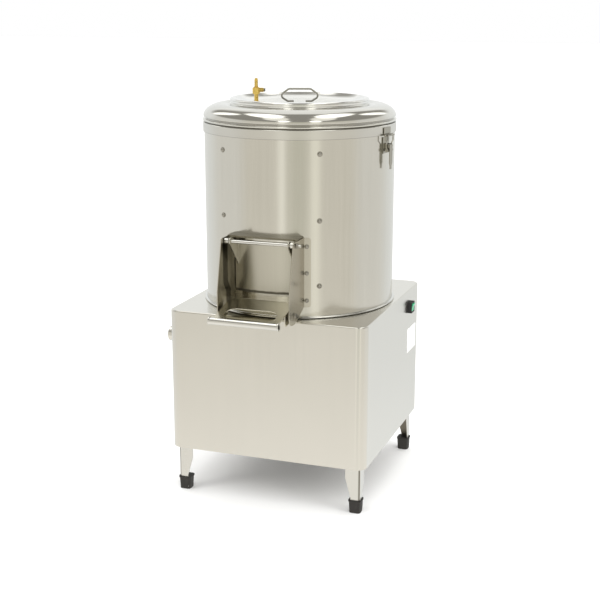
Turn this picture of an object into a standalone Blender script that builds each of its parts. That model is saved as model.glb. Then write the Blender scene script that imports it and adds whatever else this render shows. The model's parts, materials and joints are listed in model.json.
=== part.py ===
"""Electric potato peeler: a floor-standing catering machine.

A square cabinet on four legs holds the motor and the belt drive. The drum above it is lined with abrasive,
and a waved disc at its bottom throws the potatoes round against the lining. Water enters through the lid, and
the peelings leave through the drain pipe. A door at the front, held by a lock lever, lets the potatoes out.

All sizes are in metres. The front faces -Y, +X is on the right of someone who faces it, and +Z is up.
"""

import math

import bmesh
import bpy
from mathutils import Matrix, Vector

# Fits and steps
GAP = 0.0003
OVERRUN = 0.002
ROUND_STEPS = 40
SHAFT_STEPS = 14
NUT_STEPS = 12
BOLT_STEPS = 8
ARC_STEPS = 3
CORNER_STEPS = 2
WALL_STEPS = 4
SMOOTH_ANGLE = math.radians(35)

# Cabinet and its sheet
CABINET_WIDTH = 0.520
CABINET_DEPTH = 0.520
CABINET_HEIGHT = 0.364
CABINET_SHEET = 0.0015
CABINET_CORNER = 0.027
CABINET_EDGE = 0.004
CABINET_FLANGE = 0.055
LEG_HEIGHT = 0.120
CABINET_TOP = LEG_HEIGHT + CABINET_HEIGHT
CABINET_FLOOR = CABINET_TOP - CABINET_SHEET
SIDE_FACE = CABINET_WIDTH / 2
FRONT_FACE = -CABINET_DEPTH / 2
REAR_FACE = CABINET_DEPTH / 2

# Legs and rubber feet
LEG_INSET = 0.015
LEG_FLANGE = 0.038
LEG_TOE = 0.024
LEG_SHEET = 0.0025
LEG_CORNER = 0.006
LEG_TAPER_DROP = 0.030
LEG_TAPER_TOP = LEG_HEIGHT - LEG_TAPER_DROP
LEG_TAPER_RISE = 0.006
LEG_PAD = 0.048
FOOT_HEIGHT = 0.034
LEG_TAPER_FOOT = FOOT_HEIGHT + LEG_TAPER_RISE
FOOT_SOLE = 0.006
FOOT_SKIN = 0.0015
FOOT_SIDE = 0.031
FOOT_LIP = 0.0012
FOOT_LIP_HEIGHT = 0.005
FOOT_CORNER = 0.006

# Service cover at the back
SERVICE_WIDTH = 0.340
SERVICE_HEIGHT = 0.250
SERVICE_LAP = 0.018
SERVICE_SHEET = 0.0012
SERVICE_BOTTOM_RISE = 0.075
SERVICE_BOTTOM = LEG_HEIGHT + SERVICE_BOTTOM_RISE
SERVICE_CORNER = 0.012
LOUVRE_COLUMNS = 2
LOUVRE_ROWS = 5
LOUVRE_LENGTH = 0.100
LOUVRE_PITCH = 0.028
LOUVRE_HEIGHT = 0.014
LOUVRE_DEPTH = 0.007
LOUVRE_SPREAD = 0.140
LOUVRE_SKIN = 0.0012
LOUVRE_BITE = 0.0004

# Drum with its rolled foot
DRUM_RADIUS = 0.2425
DRUM_HEIGHT = 0.4557
DRUM_SHEET = 0.0015
DRUM_BEAD = 0.006
DRUM_BEAD_HEIGHT = 0.0065
DRUM_FOOT_LAP = 0.010
DRUM_BASE = CABINET_TOP + GAP
DRUM_RIM = DRUM_BASE + DRUM_HEIGHT
DRUM_BORE = DRUM_RADIUS - DRUM_SHEET

# Abrasive lining and the strips that clamp it
LINER_CLEARANCE = 0.0010
LINER_SHEET = 0.0030
LINER_BOTTOM_RISE = 0.046
LINER_BOTTOM = CABINET_TOP + LINER_BOTTOM_RISE
LINER_TOP_DROP = 0.025
LINER_TOP = DRUM_RIM - LINER_TOP_DROP
LINER_RADIUS = DRUM_BORE - LINER_CLEARANCE
LINER_BORE = LINER_RADIUS - LINER_SHEET
STRIP_ANGLE = math.radians(31)
STRIP_WIDTH = 0.022
STRIP_SHEET = 0.0030
STRIP_MARGIN = 0.010
STRIP_BOLT_PITCH = 0.1605
STRIP_BOLT_FIRST_RISE = 0.081
STRIP_BOLT_FIRST = CABINET_TOP + STRIP_BOLT_FIRST_RISE
STRIP_BOLTS = 3
BOLT_RADIUS = 0.0032
BOLT_HOLE = 0.0038
BOLT_HEAD_RADIUS = 0.0065
BOLT_HEAD_HEIGHT = 0.0050
BOLT_HEAD_RIM_SHARE = 0.35

# Discharge opening, its door and gasket
DOOR_HALF = 0.083
DOOR_BOTTOM_RISE = 0.0615
DOOR_BOTTOM = CABINET_TOP + DOOR_BOTTOM_RISE
DOOR_TOP_RISE = 0.188
DOOR_TOP = CABINET_TOP + DOOR_TOP_RISE
DOOR_SHEET = 0.0030
DOOR_STAND_OFF = 0.0045
GASKET_WIDTH = 0.011
GASKET_MARGIN = 0.0015
GASKET_REACH = GASKET_WIDTH + 2 * GASKET_MARGIN
OPENING_HALF = DOOR_HALF - GASKET_REACH
OPENING_BOTTOM = DOOR_BOTTOM + GASKET_REACH
OPENING_TOP = DOOR_TOP - GASKET_REACH
DOOR_STEPS = 8
EAR_SHEET = 0.0030
EAR_PLACE = 0.075
EAR_BOSS = 0.0095
EAR_FOOT_TOP = 0.008
EAR_FOOT_BOTTOM = 0.062
EAR_BITE = 0.0015

# Chute frame round the opening
HINGE_OUT = 0.0415
HINGE_REACH = DRUM_RADIUS + HINGE_OUT
LEVER_OUT = 0.0555
LEVER_REACH = DRUM_RADIUS + LEVER_OUT
LEVER_TAIL = 0.030
LEVER_BACK_REACH = LEVER_REACH - LEVER_TAIL
CHUTE_PLACE = 0.0915
CHUTE_SHEET = 0.0020
CHUTE_TOP_RISE = 0.202
CHUTE_TOP = CABINET_TOP + CHUTE_TOP_RISE
CHUTE_FLANGE = 0.014
CHUTE_FLANGE_SHEET = 0.0020
CHUTE_FLANGE_BOTTOM_RISE = 0.029
CHUTE_FLANGE_BOTTOM = CABINET_TOP + CHUTE_FLANGE_BOTTOM_RISE
CHUTE_FLANGE_TOP_RISE = 0.201
CHUTE_FLANGE_TOP = CABINET_TOP + CHUTE_FLANGE_TOP_RISE
CHUTE_FLANGE_CORNER = 0.006
CHUTE_HINGE_MARGIN = 0.020
CHUTE_HINGE_REACH = HINGE_REACH + CHUTE_HINGE_MARGIN
CHUTE_LEVER_MARGIN = 0.034
CHUTE_LEVER_REACH = LEVER_REACH + CHUTE_LEVER_MARGIN
CHUTE_SLANT_TOP_RISE = 0.196
CHUTE_SLANT_TOP = CABINET_TOP + CHUTE_SLANT_TOP_RISE
CHUTE_SLANT_FOOT_RISE = 0.076
CHUTE_SLANT_FOOT = CABINET_TOP + CHUTE_SLANT_FOOT_RISE
CHUTE_LOBE_BOTTOM_RISE = 0.004
CHUTE_LOBE_BOTTOM = CABINET_TOP + CHUTE_LOBE_BOTTOM_RISE
CHUTE_LOBE_RADIUS = 0.022
CHUTE_LOBE_ROOM = 0.008
CHUTE_LOBE_REAR = LEVER_REACH - CHUTE_LOBE_ROOM
CHUTE_CORNER = 0.005
CHUTE_REAR_FOOT_RISE = 0.031
CHUTE_REAR_FOOT = CABINET_TOP + CHUTE_REAR_FOOT_RISE
HOOD_ROOM = 0.016
HOOD_REACH = HINGE_REACH - HOOD_ROOM
HOOD_SHEET = 0.0020
HOOD_LIP_DROP = 0.0050
HOOD_TOP_RISE = 0.003
HOOD_TOP = CHUTE_TOP + HOOD_TOP_RISE
SILL_ROOM = 0.006
SILL_REACH = LEVER_BACK_REACH - SILL_ROOM
SILL_TOP_RISE = 0.0485
SILL_TOP = CABINET_TOP + SILL_TOP_RISE
SILL_SHEET = 0.0025
SILL_LIP_DROP = 0.0060

# Hinge rod of the door
HINGE_HEIGHT_RISE = 0.193
HINGE_HEIGHT = CABINET_TOP + HINGE_HEIGHT_RISE
HINGE_RADIUS = 0.0045
HINGE_COLLAR = 0.0075
HINGE_COLLAR_LENGTH = 0.0110
HINGE_END_RADIUS = 0.0035
HINGE_END_RIGHT = 0.0120
HINGE_END_LEFT = 0.0075
HINGE_NUT_RADIUS = 0.0066
HINGE_NUT_LENGTH = 0.0052

# Lock lever with its grip
LEVER_HEIGHT_RISE = 0.027
LEVER_HEIGHT = CABINET_TOP + LEVER_HEIGHT_RISE
LEVER_SHEET = 0.0020
LEVER_HALF = 0.0850
LEVER_BACK_HALF = 0.0700
LEVER_BACK_HEIGHT_RISE = 0.050
LEVER_BACK_HEIGHT = CABINET_TOP + LEVER_BACK_HEIGHT_RISE
LEVER_FRONT_HEIGHT_RISE = 0.0245
LEVER_FRONT_HEIGHT = CABINET_TOP + LEVER_FRONT_HEIGHT_RISE
LEVER_CHAMFER = 0.016
LEVER_SLOT_OUT = 0.024
LEVER_SLOT_BACK = LEVER_REACH + LEVER_SLOT_OUT
LEVER_SLOT_DEPTH = 0.050
LEVER_SLOT_FRONT = LEVER_SLOT_BACK + LEVER_SLOT_DEPTH
LEVER_SLOT_HALF = 0.066
LEVER_ARM_RADIUS = 0.0110
LEVER_ARM_LENGTH = 0.042
LEVER_ARM_REACH = LEVER_REACH + LEVER_ARM_LENGTH
LEVER_ARM_DROP = 0.0150
LEVER_ARM_SAG = 0.0060
LEVER_ARM_CORNER = 0.0080
SLOT_ROUND_SHARE = 0.98
GRIP_OUT = 0.092
GRIP_REACH = LEVER_REACH + GRIP_OUT
GRIP_HEIGHT_RISE = 0.021
GRIP_HEIGHT = CABINET_TOP + GRIP_HEIGHT_RISE
GRIP_RADIUS = 0.0088
GRIP_HALF = 0.0887
GRIP_FLANGE = 0.0106
GRIP_FLANGE_LENGTH = 0.0025
GRIP_BORE = 0.0060
LEVER_FRONT_REACH = GRIP_REACH - GRIP_RADIUS - GAP
PIVOT_BOLT_RADIUS = 0.0040
PIVOT_HEAD_RADIUS = 0.0060
PIVOT_HEAD_LENGTH = 0.0050
PIVOT_NUT_RADIUS = 0.0060
PIVOT_NUT_LENGTH = 0.0030

# Cover ring on the drum's rim
RING_SHEET = 0.0015
RING_FIT = 0.0015
RING_SKIRT = 0.0210
RING_BEAD_BOTTOM = 0.0070
RING_BEAD_HEIGHT = 0.0060
RING_NECK = 0.0020
RING_DOME_RISE = 0.0170
RING_DOME_WIDTH = 0.0495
RING_DOME_HEIGHT = 0.0300
RING_DOME_BULGE = 0.0020
RING_LEDGE_WIDTH = 0.0300
RING_LEDGE_DROP = 0.0035
RING_LEDGE_ROOM = 0.0020
RING_LIP_DROP = 0.0060
RING_DOME_STEPS = 5

# Lid, its handle and the water inlet
LID_RADIUS = 0.1770
LID_SHEET = 0.0020
LID_WALL = 0.0130
LID_BEAD = 0.0018
LID_BEAD_HEIGHT = 0.0060
LID_ROLL_WIDTH = 0.0090
LID_ROLL_HEIGHT = 0.0045
LID_DISH_RADIUS = 0.1450
LID_FLOOR_RADIUS = 0.1200
LID_DISH_DROP = 0.0150
LID_SPIGOT_RADIUS = 0.1605
LID_SPIGOT_DEPTH = 0.0140
LID_SPIGOT_FOOT = 0.0060
LID_TURN = math.radians(19.65)
HANDLE_WIDTH = 0.0190
HANDLE_SHEET = 0.0025
HANDLE_TOP_HALF = 0.0270
HANDLE_BULGE_HALF = 0.0513
HANDLE_FOOT_HALF = 0.0317
HANDLE_TOE_HALF = 0.0150
HANDLE_BULGE_RISE = 0.0170
HANDLE_RISE = 0.0365
HANDLE_BEND = 0.0050
INLET_PLACE = 0.110
INLET_NIPPLE_RADIUS = 0.0050
INLET_NIPPLE_HEIGHT = 0.0225
INLET_HEX = 0.0102
INLET_HEX_HEIGHT = 0.0195
INLET_TAIL_HEIGHT = 0.0195
INLET_TAIL_RADIUS = 0.0048
INLET_BARB = 0.0012
INLET_BARBS = 3
INLET_BORE = 0.0025
INLET_COLLAR = 0.0085
INLET_COLLAR_HEIGHT = 0.0030
INLET_STUB_RADIUS = 0.0055
INLET_STUB_REACH = 0.0190
INLET_STEM = 0.0050
INLET_DROP = 0.0060
SCREW_BORE = 0.0032
SCREW_RADIUS = 0.0028
SCREW_HEAD_RADIUS = 0.0046
SCREW_HEAD_LENGTH = 0.0040
SCREW_DEPTH = 0.0080
SCREW_SLOT = 0.0010
SCREW_SLOT_DEPTH = 0.0012
SPRAY_RADIUS = 0.0160
SPRAY_HEIGHT = 0.0100
SPRAY_NECK = 0.0080
SPRAY_NECK_HEIGHT = 0.0060
SPRAY_SKIN = 0.0020
SPRAY_OUTLET = 0.0110

# Toggle latches on the cover ring
LATCH_ANGLES = {"right": math.radians(80), "left": math.radians(-100)}
STRIKE_WIDTH = 0.036
STRIKE_SHEET = 0.0020
STRIKE_RISE = 0.0170
STRIKE_ROOM = 0.0030
BAIL_WIRE = 0.0015
BAIL_HALF = 0.0220
BAIL_NECK_HALF = 0.0135
BAIL_TOP_RISE = 0.0385
BAIL_JOG_RISE = 0.0165
BAIL_JOG_HEIGHT = 0.0060
BAIL_EYE = 0.0042
BAIL_EYE_SHARE = 0.9
BAIL_BEND = 0.0030
WIRE_STEPS = 6
LATCH_PIVOT_DROP = 0.0480
LATCH_PIVOT_OUT = 0.0100
LATCH_ARM = 0.0100
LATCH_PLATE_HALF = 0.0165
LATCH_EAR_PLACE = 0.0085
LATCH_PLATE_TOP = 0.0220
LATCH_PLATE_BOTTOM = 0.0180
LATCH_PLATE_SHEET = 0.0020
LATCH_EAR_SHEET = 0.0015
LATCH_EAR_RADIUS = 0.0055
LATCH_PIN = 0.0020
LATCH_LEVER_HALF = 0.0080
LATCH_LEVER_SHEET = 0.0020
LATCH_LEVER_TOP = 0.0030
LATCH_TONGUE_OUT = 0.0040
LATCH_CHEEK = 0.0040
LATCH_CHEEK_BACK = 0.0035
LATCH_LEVER_LENGTH = 0.0600
LATCH_LEVER_TOE = 0.0080
LATCH_LEVER_TOE_HALF = 0.0042

# Peeling disc, shaft and bearings
SHAFT_RADIUS = 0.0125
SHAFT_SPIGOT = 0.0100
SHAFT_DROP = 0.1960
SHAFT_BOTTOM = CABINET_TOP - SHAFT_DROP
DISC_RADIUS = 0.2280
DISC_HUB_RADIUS = 0.0350
DISC_BOTTOM_RISE = 0.0190
DISC_SHEET = 0.0120
DISC_WAVE = 0.0160
DISC_WAVES = 3
DISC_RIM_WIDTH = 0.0120
DISC_HUB_HEIGHT = 0.0240
DISC_BLADE_HEIGHT = 0.0100
DISC_BLADE_SHEET = 0.0030
DISC_BLADE_START = 0.0500
DISC_BLADE_END = 0.2150
DISC_BLADES = 2
DISC_STEPS = 36
CORE_STEPS = 16
DRIVE_STEPS = 28
NUT_RADIUS = 0.0165
NUT_HEIGHT = 0.0140
HOUSING_RADIUS = 0.0340
HOUSING_FLANGE = 0.0750
HOUSING_FLANGE_SHEET = 0.0080
HOUSING_NECK_RISE = 0.0080
HOUSING_DROP = 0.1300
HOUSING_BOTTOM = CABINET_TOP - HOUSING_DROP
HOUSING_SHOULDER = 0.0220
BEARING_RADIUS = 0.0260
BEARING_WIDTH = 0.0150
BEARING_GROOVE = 0.0010
BEARING_RACE = 0.0050
SEAL_HEIGHT = 0.0075
SEAL_LIP = 0.0040
UPPER_BEARING_DROP = 0.0070

# Belt drive and motor
PULLEY_HEIGHT = 0.0250
PULLEY_DROP = 0.1890
PULLEY_BOTTOM = CABINET_TOP - PULLEY_DROP
PULLEY_RIM = 0.0120
PULLEY_WEB = 0.0060
PULLEY_HUB = 0.0280
MOTOR_INSET = 0.0950
MOTOR_PLACE = REAR_FACE - MOTOR_INSET
MOTOR_PULLEY_RADIUS = 0.0350
PULLEY_ROOM = 0.0120
PULLEY_RADIUS = MOTOR_PLACE - MOTOR_PULLEY_RADIUS - PULLEY_ROOM
GROOVE_DEPTH = 0.0110
GROOVE_TOP = 0.0148
GROOVE_FOOT = 0.0090
BELT_HEIGHT = 0.0080
BELT_SINK = 0.0018
BELT_ROOM = 0.0006
BELT_STEP = math.radians(10)
MOTOR_DROP = 0.1490
MOTOR_BOTTOM = CABINET_TOP - MOTOR_DROP
MOTOR_HEIGHT = 0.1380
MOTOR_RADIUS = 0.0620
MOTOR_ROOT = 0.0570
MOTOR_BELL = 0.0520
MOTOR_BELL_HEIGHT = 0.0160
MOTOR_FINS = 12
MOTOR_SHAFT = 0.0090
MOTOR_SHAFT_DROP = 0.1960
MOTOR_SHAFT_BOTTOM = CABINET_TOP - MOTOR_SHAFT_DROP
MOTOR_SHAFT_DEPTH = 0.0180
TERMINAL_HALF = 0.0350
TERMINAL_REACH = 0.0860
TERMINAL_BOTTOM = 0.0450
TERMINAL_HEIGHT = 0.0600
BRACKET_SHEET = 0.0040
BRACKET_HALF = 0.0780
BRACKET_TAB = 0.0240
BRACKET_DEPTH = 0.0900
BRACKET_HOLE = 0.0240

# Drain, cable gland and switch
DRAIN_ACROSS = 0.175
DRAIN_FORWARD = 0.080
DRAIN_PLACE = Vector((-DRAIN_ACROSS, -DRAIN_FORWARD))
DRAIN_RADIUS = 0.0200
DRAIN_SHEET = 0.0018
DRAIN_BEND = 0.0450
DRAIN_DROP = 0.1160
DRAIN_HEIGHT = CABINET_TOP - DRAIN_DROP
DRAIN_SPOUT = 0.0800
DRAIN_REACH = SIDE_FACE + DRAIN_SPOUT
DRAIN_BEND_STEPS = 4
GLAND_INSET = 0.0420
GLAND_PLACE = SIDE_FACE - GLAND_INSET
GLAND_RISE = 0.0500
GLAND_HEIGHT = LEG_HEIGHT + GLAND_RISE
GLAND_RADIUS = 0.0110
GLAND_SHANK = 0.0078
GLAND_BORE = 0.0045
GLAND_FLANGE = 0.0050
GLAND_DOME = 0.0120
GLAND_NUT = 0.0060
SWITCH_INSET = 0.1080
SWITCH_PLACE = REAR_FACE - SWITCH_INSET
SWITCH_DROP = 0.0472
SWITCH_HEIGHT = CABINET_TOP - SWITCH_DROP
SWITCH_WIDTH = 0.0320
SWITCH_TALL = 0.0295
SWITCH_PROUD = 0.0100
SWITCH_WALL = 0.0035
SWITCH_BODY_DEPTH = 0.0220
SWITCH_BODY_INSET = 0.0030
SWITCH_RECESS = 0.0075
ROCKER_ROOM = 0.0012
ROCKER_DISH = 0.0010
ROCKER_TILT = math.radians(20)
ROCKER_BELLY = 0.0040


# Materials

FINISHES = {
    "brushed_steel": ((0.62, 0.61, 0.56), 1.0, 0.34),
    "satin_steel": ((0.74, 0.74, 0.72), 1.0, 0.28),
    "polished_steel": ((0.80, 0.79, 0.76), 1.0, 0.14),
    "rubber": ((0.030, 0.028, 0.026), 0.0, 0.75),
    "gasket_rubber": ((0.10, 0.095, 0.085), 0.0, 0.80),
    "abrasive": ((0.17, 0.165, 0.155), 0.0, 0.95),
    "brass": ((0.78, 0.55, 0.20), 1.0, 0.25),
    "black_plastic": ((0.020, 0.020, 0.021), 0.0, 0.45),
    "green_plastic": ((0.015, 0.36, 0.16), 0.0, 0.30),
    "grey_plastic": ((0.32, 0.33, 0.33), 0.0, 0.45),
    "cast_iron": ((0.16, 0.16, 0.165), 0.8, 0.60),
    "motor_paint": ((0.10, 0.13, 0.17), 0.0, 0.50),
}


def finish(name):
    """The material of this name, made the first time that a piece asks for it."""
    found = bpy.data.materials.get(name)
    if found:
        return found
    colour, metallic, roughness = FINISHES[name]
    made = bpy.data.materials.new(name)
    made.use_nodes = True
    shader = made.node_tree.nodes["Principled BSDF"]
    shader.inputs["Base Color"].default_value = (*colour, 1)
    shader.inputs["Metallic"].default_value = metallic
    shader.inputs["Roughness"].default_value = roughness
    made.diffuse_color = (*colour, 1)
    return made


# Objects

def pivot(name, place, parent):
    """An empty on a joint's axis, which carries the pieces that turn or slide there."""
    empty = bpy.data.objects.new(name, None)
    bpy.context.collection.objects.link(empty)
    empty.parent = parent
    empty.location = Vector(place) - machine_place(parent)
    return empty


def machine_place(empty):
    """Where an empty stands in the machine's own frame."""
    place = Vector()
    while empty is not None:
        place += empty.location
        empty = empty.parent
    return place


def face_outwards(mesh):
    """Turns every face of one closed skin outwards."""
    bmesh.ops.recalc_face_normals(mesh, faces=mesh.faces)
    if mesh.calc_volume(signed=True) < 0:
        bmesh.ops.reverse_faces(mesh, faces=mesh.faces)


def piece(name, mesh, material, parent):
    """A named object from a bmesh drawn in the machine's frame, carried by an empty."""
    face_outwards(mesh)
    return carried(name, mesh, material, parent)


def carried(name, mesh, material, parent):
    """An object from a bmesh whose faces already point outwards."""
    data = bpy.data.meshes.new(name)
    mesh.to_mesh(data)
    mesh.free()
    data.shade_smooth()
    data.set_sharp_from_angle(angle=SMOOTH_ANGLE)
    data.materials.append(finish(material))
    made = bpy.data.objects.new(name, data)
    bpy.context.collection.objects.link(made)
    made.parent = parent
    made.location = -machine_place(parent)
    return made


def shape(target, tool_mesh, operation, name):
    """Cuts a bmesh out of an object, joins it on, or keeps only what both hold."""
    tool = carried(f"{target.name}_{name}", merged(tool_mesh), target.data.materials[0].name, target.parent)
    tool.hide_render = True
    tool.display_type = "WIRE"
    step = target.modifiers.new(name, "BOOLEAN")
    step.operation = operation
    step.solver = "EXACT"
    step.object = tool
    return target


# Outlines

def rounded(corners, steps=ARC_STEPS):
    """The outline through (x, y, radius) corners, each one rounded by an arc of its radius."""
    outline = []
    for index, (x, y, radius) in enumerate(corners):
        here = Vector((x, y))
        before = Vector(corners[index - 1][:2])
        after = Vector(corners[(index + 1) % len(corners)][:2])
        if radius == 0:
            outline.append(tuple(here))
            continue
        back = (before - here).normalized()
        ahead = (after - here).normalized()
        half = back.angle(ahead) / 2
        run = radius / math.tan(half)
        centre = here + (back + ahead).normalized() * (radius / math.sin(half))
        first = here + back * run - centre
        last = here + ahead * run - centre
        turn = first.angle_signed(last)
        for step in range(steps + 1):
            angle = -turn * step / steps
            cosine, sine = math.cos(angle), math.sin(angle)
            outline.append((centre.x + first.x * cosine - first.y * sine,
                            centre.y + first.x * sine + first.y * cosine))
    return outline


def rectangle(x_low, y_low, x_high, y_high, radius=0, steps=ARC_STEPS):
    """A rectangle's outline, with rounded corners where a radius is given."""
    corners = [(x_low, y_low, radius), (x_high, y_low, radius), (x_high, y_high, radius),
               (x_low, y_high, radius)]
    return rounded(corners, steps)


def circle(radius, steps, centre=(0, 0), start=0.0):
    """Points round a circle."""
    turns = [start + 2 * math.pi * step / steps for step in range(steps)]
    return [(centre[0] + radius * math.cos(turn), centre[1] + radius * math.sin(turn)) for turn in turns]


def arc(centre, radius, start, end, steps, squash=1):
    """Points along an arc, or along an ellipse's arc where its height is squashed."""
    turns = [start + (end - start) * step / steps for step in range(steps + 1)]
    return [(centre[0] + radius * math.cos(turn),
             centre[1] + radius * squash * math.sin(turn)) for turn in turns]


def bent(angle_low, angle_high, inner, outer, steps):
    """The plan of a plate that follows the drum. Its angles run from the front, towards +X."""
    angles = [angle_low + (angle_high - angle_low) * step / steps for step in range(steps + 1)]
    near = [(inner * math.sin(angle), -inner * math.cos(angle)) for angle in angles]
    far = [(outer * math.sin(angle), -outer * math.cos(angle)) for angle in reversed(angles)]
    return near + far


# Solids

def loft(rings, closed=False):
    """A skin over rings of equally many points. Its ends are capped, unless it closes on itself."""
    mesh = bmesh.new()
    rows = [[mesh.verts.new(point) for point in ring] for ring in rings]
    pairs = list(zip(rows, rows[1:]))
    if closed:
        pairs.append((rows[-1], rows[0]))
    for low, high in pairs:
        for index in range(len(low)):
            after = (index + 1) % len(low)
            mesh.faces.new((low[index], low[after], high[after], high[index]))
    if not closed:
        mesh.faces.new(rows[0])
        mesh.faces.new(rows[-1])
    return mesh


AXES = {"X": (1, 2, 0), "Y": (2, 0, 1), "Z": (0, 1, 2)}


def oriented(point, height, axis):
    """A point of an outline at a height along an axis. The outline's plane is YZ, ZX or XY."""
    place = [0, 0, 0]
    first, second, third = AXES[axis]
    place[first], place[second], place[third] = point[0], point[1], height
    return tuple(place)


def prism(outline, low, high, axis="Z"):
    """An outline extruded along an axis."""
    mesh = bmesh.new()
    face = mesh.faces.new([mesh.verts.new(oriented(point, low, axis)) for point in outline])
    grown = bmesh.ops.extrude_face_region(mesh, geom=[face])["geom"]
    tops = [item for item in grown if isinstance(item, bmesh.types.BMVert)]
    bmesh.ops.translate(mesh, verts=tops, vec=oriented((0, 0), high - low, axis))
    return mesh


def box(low, high):
    """A block between two corners."""
    return prism(rectangle(low[0], low[1], high[0], high[1]), low[2], high[2])


def turned(profile, steps=ROUND_STEPS, axis="Z", centre=(0, 0)):
    """A closed (radius, height) profile spun round an axis through a centre. Points at radius 0 close it."""
    mesh = bmesh.new()
    spots = [mesh.verts.new((radius, 0, height)) for radius, height in profile]
    edges = [mesh.edges.new((spots[index - 1], spots[index])) for index in range(len(spots))
             if profile[index - 1][0] > 0 or profile[index][0] > 0]
    bmesh.ops.spin(mesh, geom=spots + edges, cent=(0, 0, 0), axis=(0, 0, 1), angle=2 * math.pi,
                   steps=steps, use_merge=True)
    bmesh.ops.remove_doubles(mesh, verts=mesh.verts, dist=GAP / ROUND_STEPS)
    bmesh.ops.dissolve_degenerate(mesh, edges=mesh.edges, dist=GAP / ROUND_STEPS)
    for vertex in mesh.verts:
        x, y, z = vertex.co
        vertex.co = oriented((x + centre[0], y + centre[1]), z, axis)
    return mesh


def rod(radius, low, high, axis="Z", centre=(0, 0), steps=SHAFT_STEPS):
    """A plain round bar along an axis."""
    return prism(circle(radius, steps, centre), low, high, axis)


def merged(*meshes):
    """Several separate solids in one bmesh, for a cutter with many parts."""
    whole = bmesh.new()
    for mesh in meshes:
        data = bpy.data.meshes.new("part_of_tool")
        face_outwards(mesh)
        mesh.to_mesh(data)
        mesh.free()
        whole.from_mesh(data)
        bpy.data.meshes.remove(data)
    return whole


def moved(mesh, matrix):
    """The bmesh after a turn or a shift."""
    bmesh.ops.transform(mesh, matrix=matrix, verts=mesh.verts)
    return mesh


def about_z(angle):
    """A turn round the machine's own axis."""
    return Matrix.Rotation(angle, 4, "Z")


def clear_hole(radius, steps=SHAFT_STEPS):
    """The radius of a hole whose flats keep clear of a round of this radius."""
    return (radius + GAP) / math.cos(math.pi / steps)


def sunk(radius):
    """How far the flats of a big round lie inside its circle."""
    return radius * (1 - math.cos(math.pi / ROUND_STEPS))


# Cabinet, legs, feet and service cover

def cabinet_ring(inset, height):
    """The cabinet's rounded plan, drawn in by an inset."""
    radius = max(CABINET_CORNER - inset, CABINET_SHEET)
    plan = rectangle(-SIDE_FACE + inset, FRONT_FACE + inset, SIDE_FACE - inset, REAR_FACE - inset, radius,
                     WALL_STEPS)
    return [(x, y, height) for x, y in plan]


def cabinet_shell(base):
    """One folded sheet: top, four walls and the flange that the legs bolt to."""
    bend = (CABINET_EDGE, CABINET_TOP - CABINET_EDGE)
    outer = arc(bend, CABINET_EDGE, math.pi / 2, math.pi, CORNER_STEPS)
    inner = arc(bend, CABINET_EDGE - CABINET_SHEET, math.pi, math.pi / 2, 1)
    section = outer + [
        (0, LEG_HEIGHT),
        (CABINET_FLANGE, LEG_HEIGHT),
        (CABINET_FLANGE, LEG_HEIGHT + CABINET_SHEET),
        (CABINET_SHEET, LEG_HEIGHT + CABINET_SHEET),
    ] + inner
    shell = piece("cabinet_shell", loft([cabinet_ring(*point) for point in section]), "satin_steel", base)
    deep = CABINET_SHEET + OVERRUN
    wall_hole = clear_hole(DRAIN_RADIUS)
    holes = merged(
        rod(clear_hole(HOUSING_RADIUS), CABINET_TOP - deep, CABINET_TOP + OVERRUN),
        rod(wall_hole, CABINET_TOP - deep, CABINET_TOP + OVERRUN, centre=DRAIN_PLACE),
        rod(wall_hole, -SIDE_FACE - OVERRUN, -SIDE_FACE + deep, "X", (DRAIN_PLACE.y, DRAIN_HEIGHT)),
        rod(clear_hole(GLAND_SHANK), REAR_FACE - deep, REAR_FACE + OVERRUN, "Y", (GLAND_HEIGHT, GLAND_PLACE)),
        prism(switch_outline(GAP - SWITCH_BODY_INSET), SIDE_FACE - deep, SIDE_FACE + OVERRUN, "X"),
        prism(service_outline(-SERVICE_LAP), REAR_FACE - deep, REAR_FACE + OVERRUN, "Y"),
    )
    return shape(shell, holes, "DIFFERENCE", "holes")


def leg_outline(toe, room=0):
    """An angle section from its outer corner inwards, grown all round by some room."""
    inner = LEG_SHEET + room
    end = toe + room
    return rounded([
        (-room, -room, LEG_CORNER + room),
        (end, -room, 0),
        (end, inner, 0),
        (inner, inner, LEG_CORNER - LEG_SHEET),
        (inner, end, 0),
        (-room, end, 0),
    ], CORNER_STEPS)


def at_corner(outline, side, end, height):
    """An outline that is measured inwards from a leg's outer corner, in the machine's frame."""
    return [(side * (SIDE_FACE - LEG_INSET - u), end * (REAR_FACE - LEG_INSET - v), height)
            for u, v in outline]


def leg(name, side, end, base):
    """A tapered angle leg with the pad that bolts to the cabinet's flange."""
    top = LEG_HEIGHT - GAP
    levels = [
        (FOOT_SOLE + GAP, LEG_TOE),
        (LEG_TAPER_FOOT, LEG_TOE),
        (LEG_TAPER_TOP, LEG_FLANGE),
        (top - LEG_SHEET / 2, LEG_FLANGE),
    ]
    made = piece(name, loft([at_corner(leg_outline(toe), side, end, z) for z, toe in levels]),
                 "brushed_steel", base)
    lap = LEG_SHEET / 5
    pad = rectangle(-lap, -lap, LEG_PAD, LEG_PAD, LEG_CORNER, CORNER_STEPS)
    plate = loft([at_corner(pad, side, end, z) for z in (top - LEG_SHEET, top)])
    return shape(made, plate, "UNION", "pad")


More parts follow.
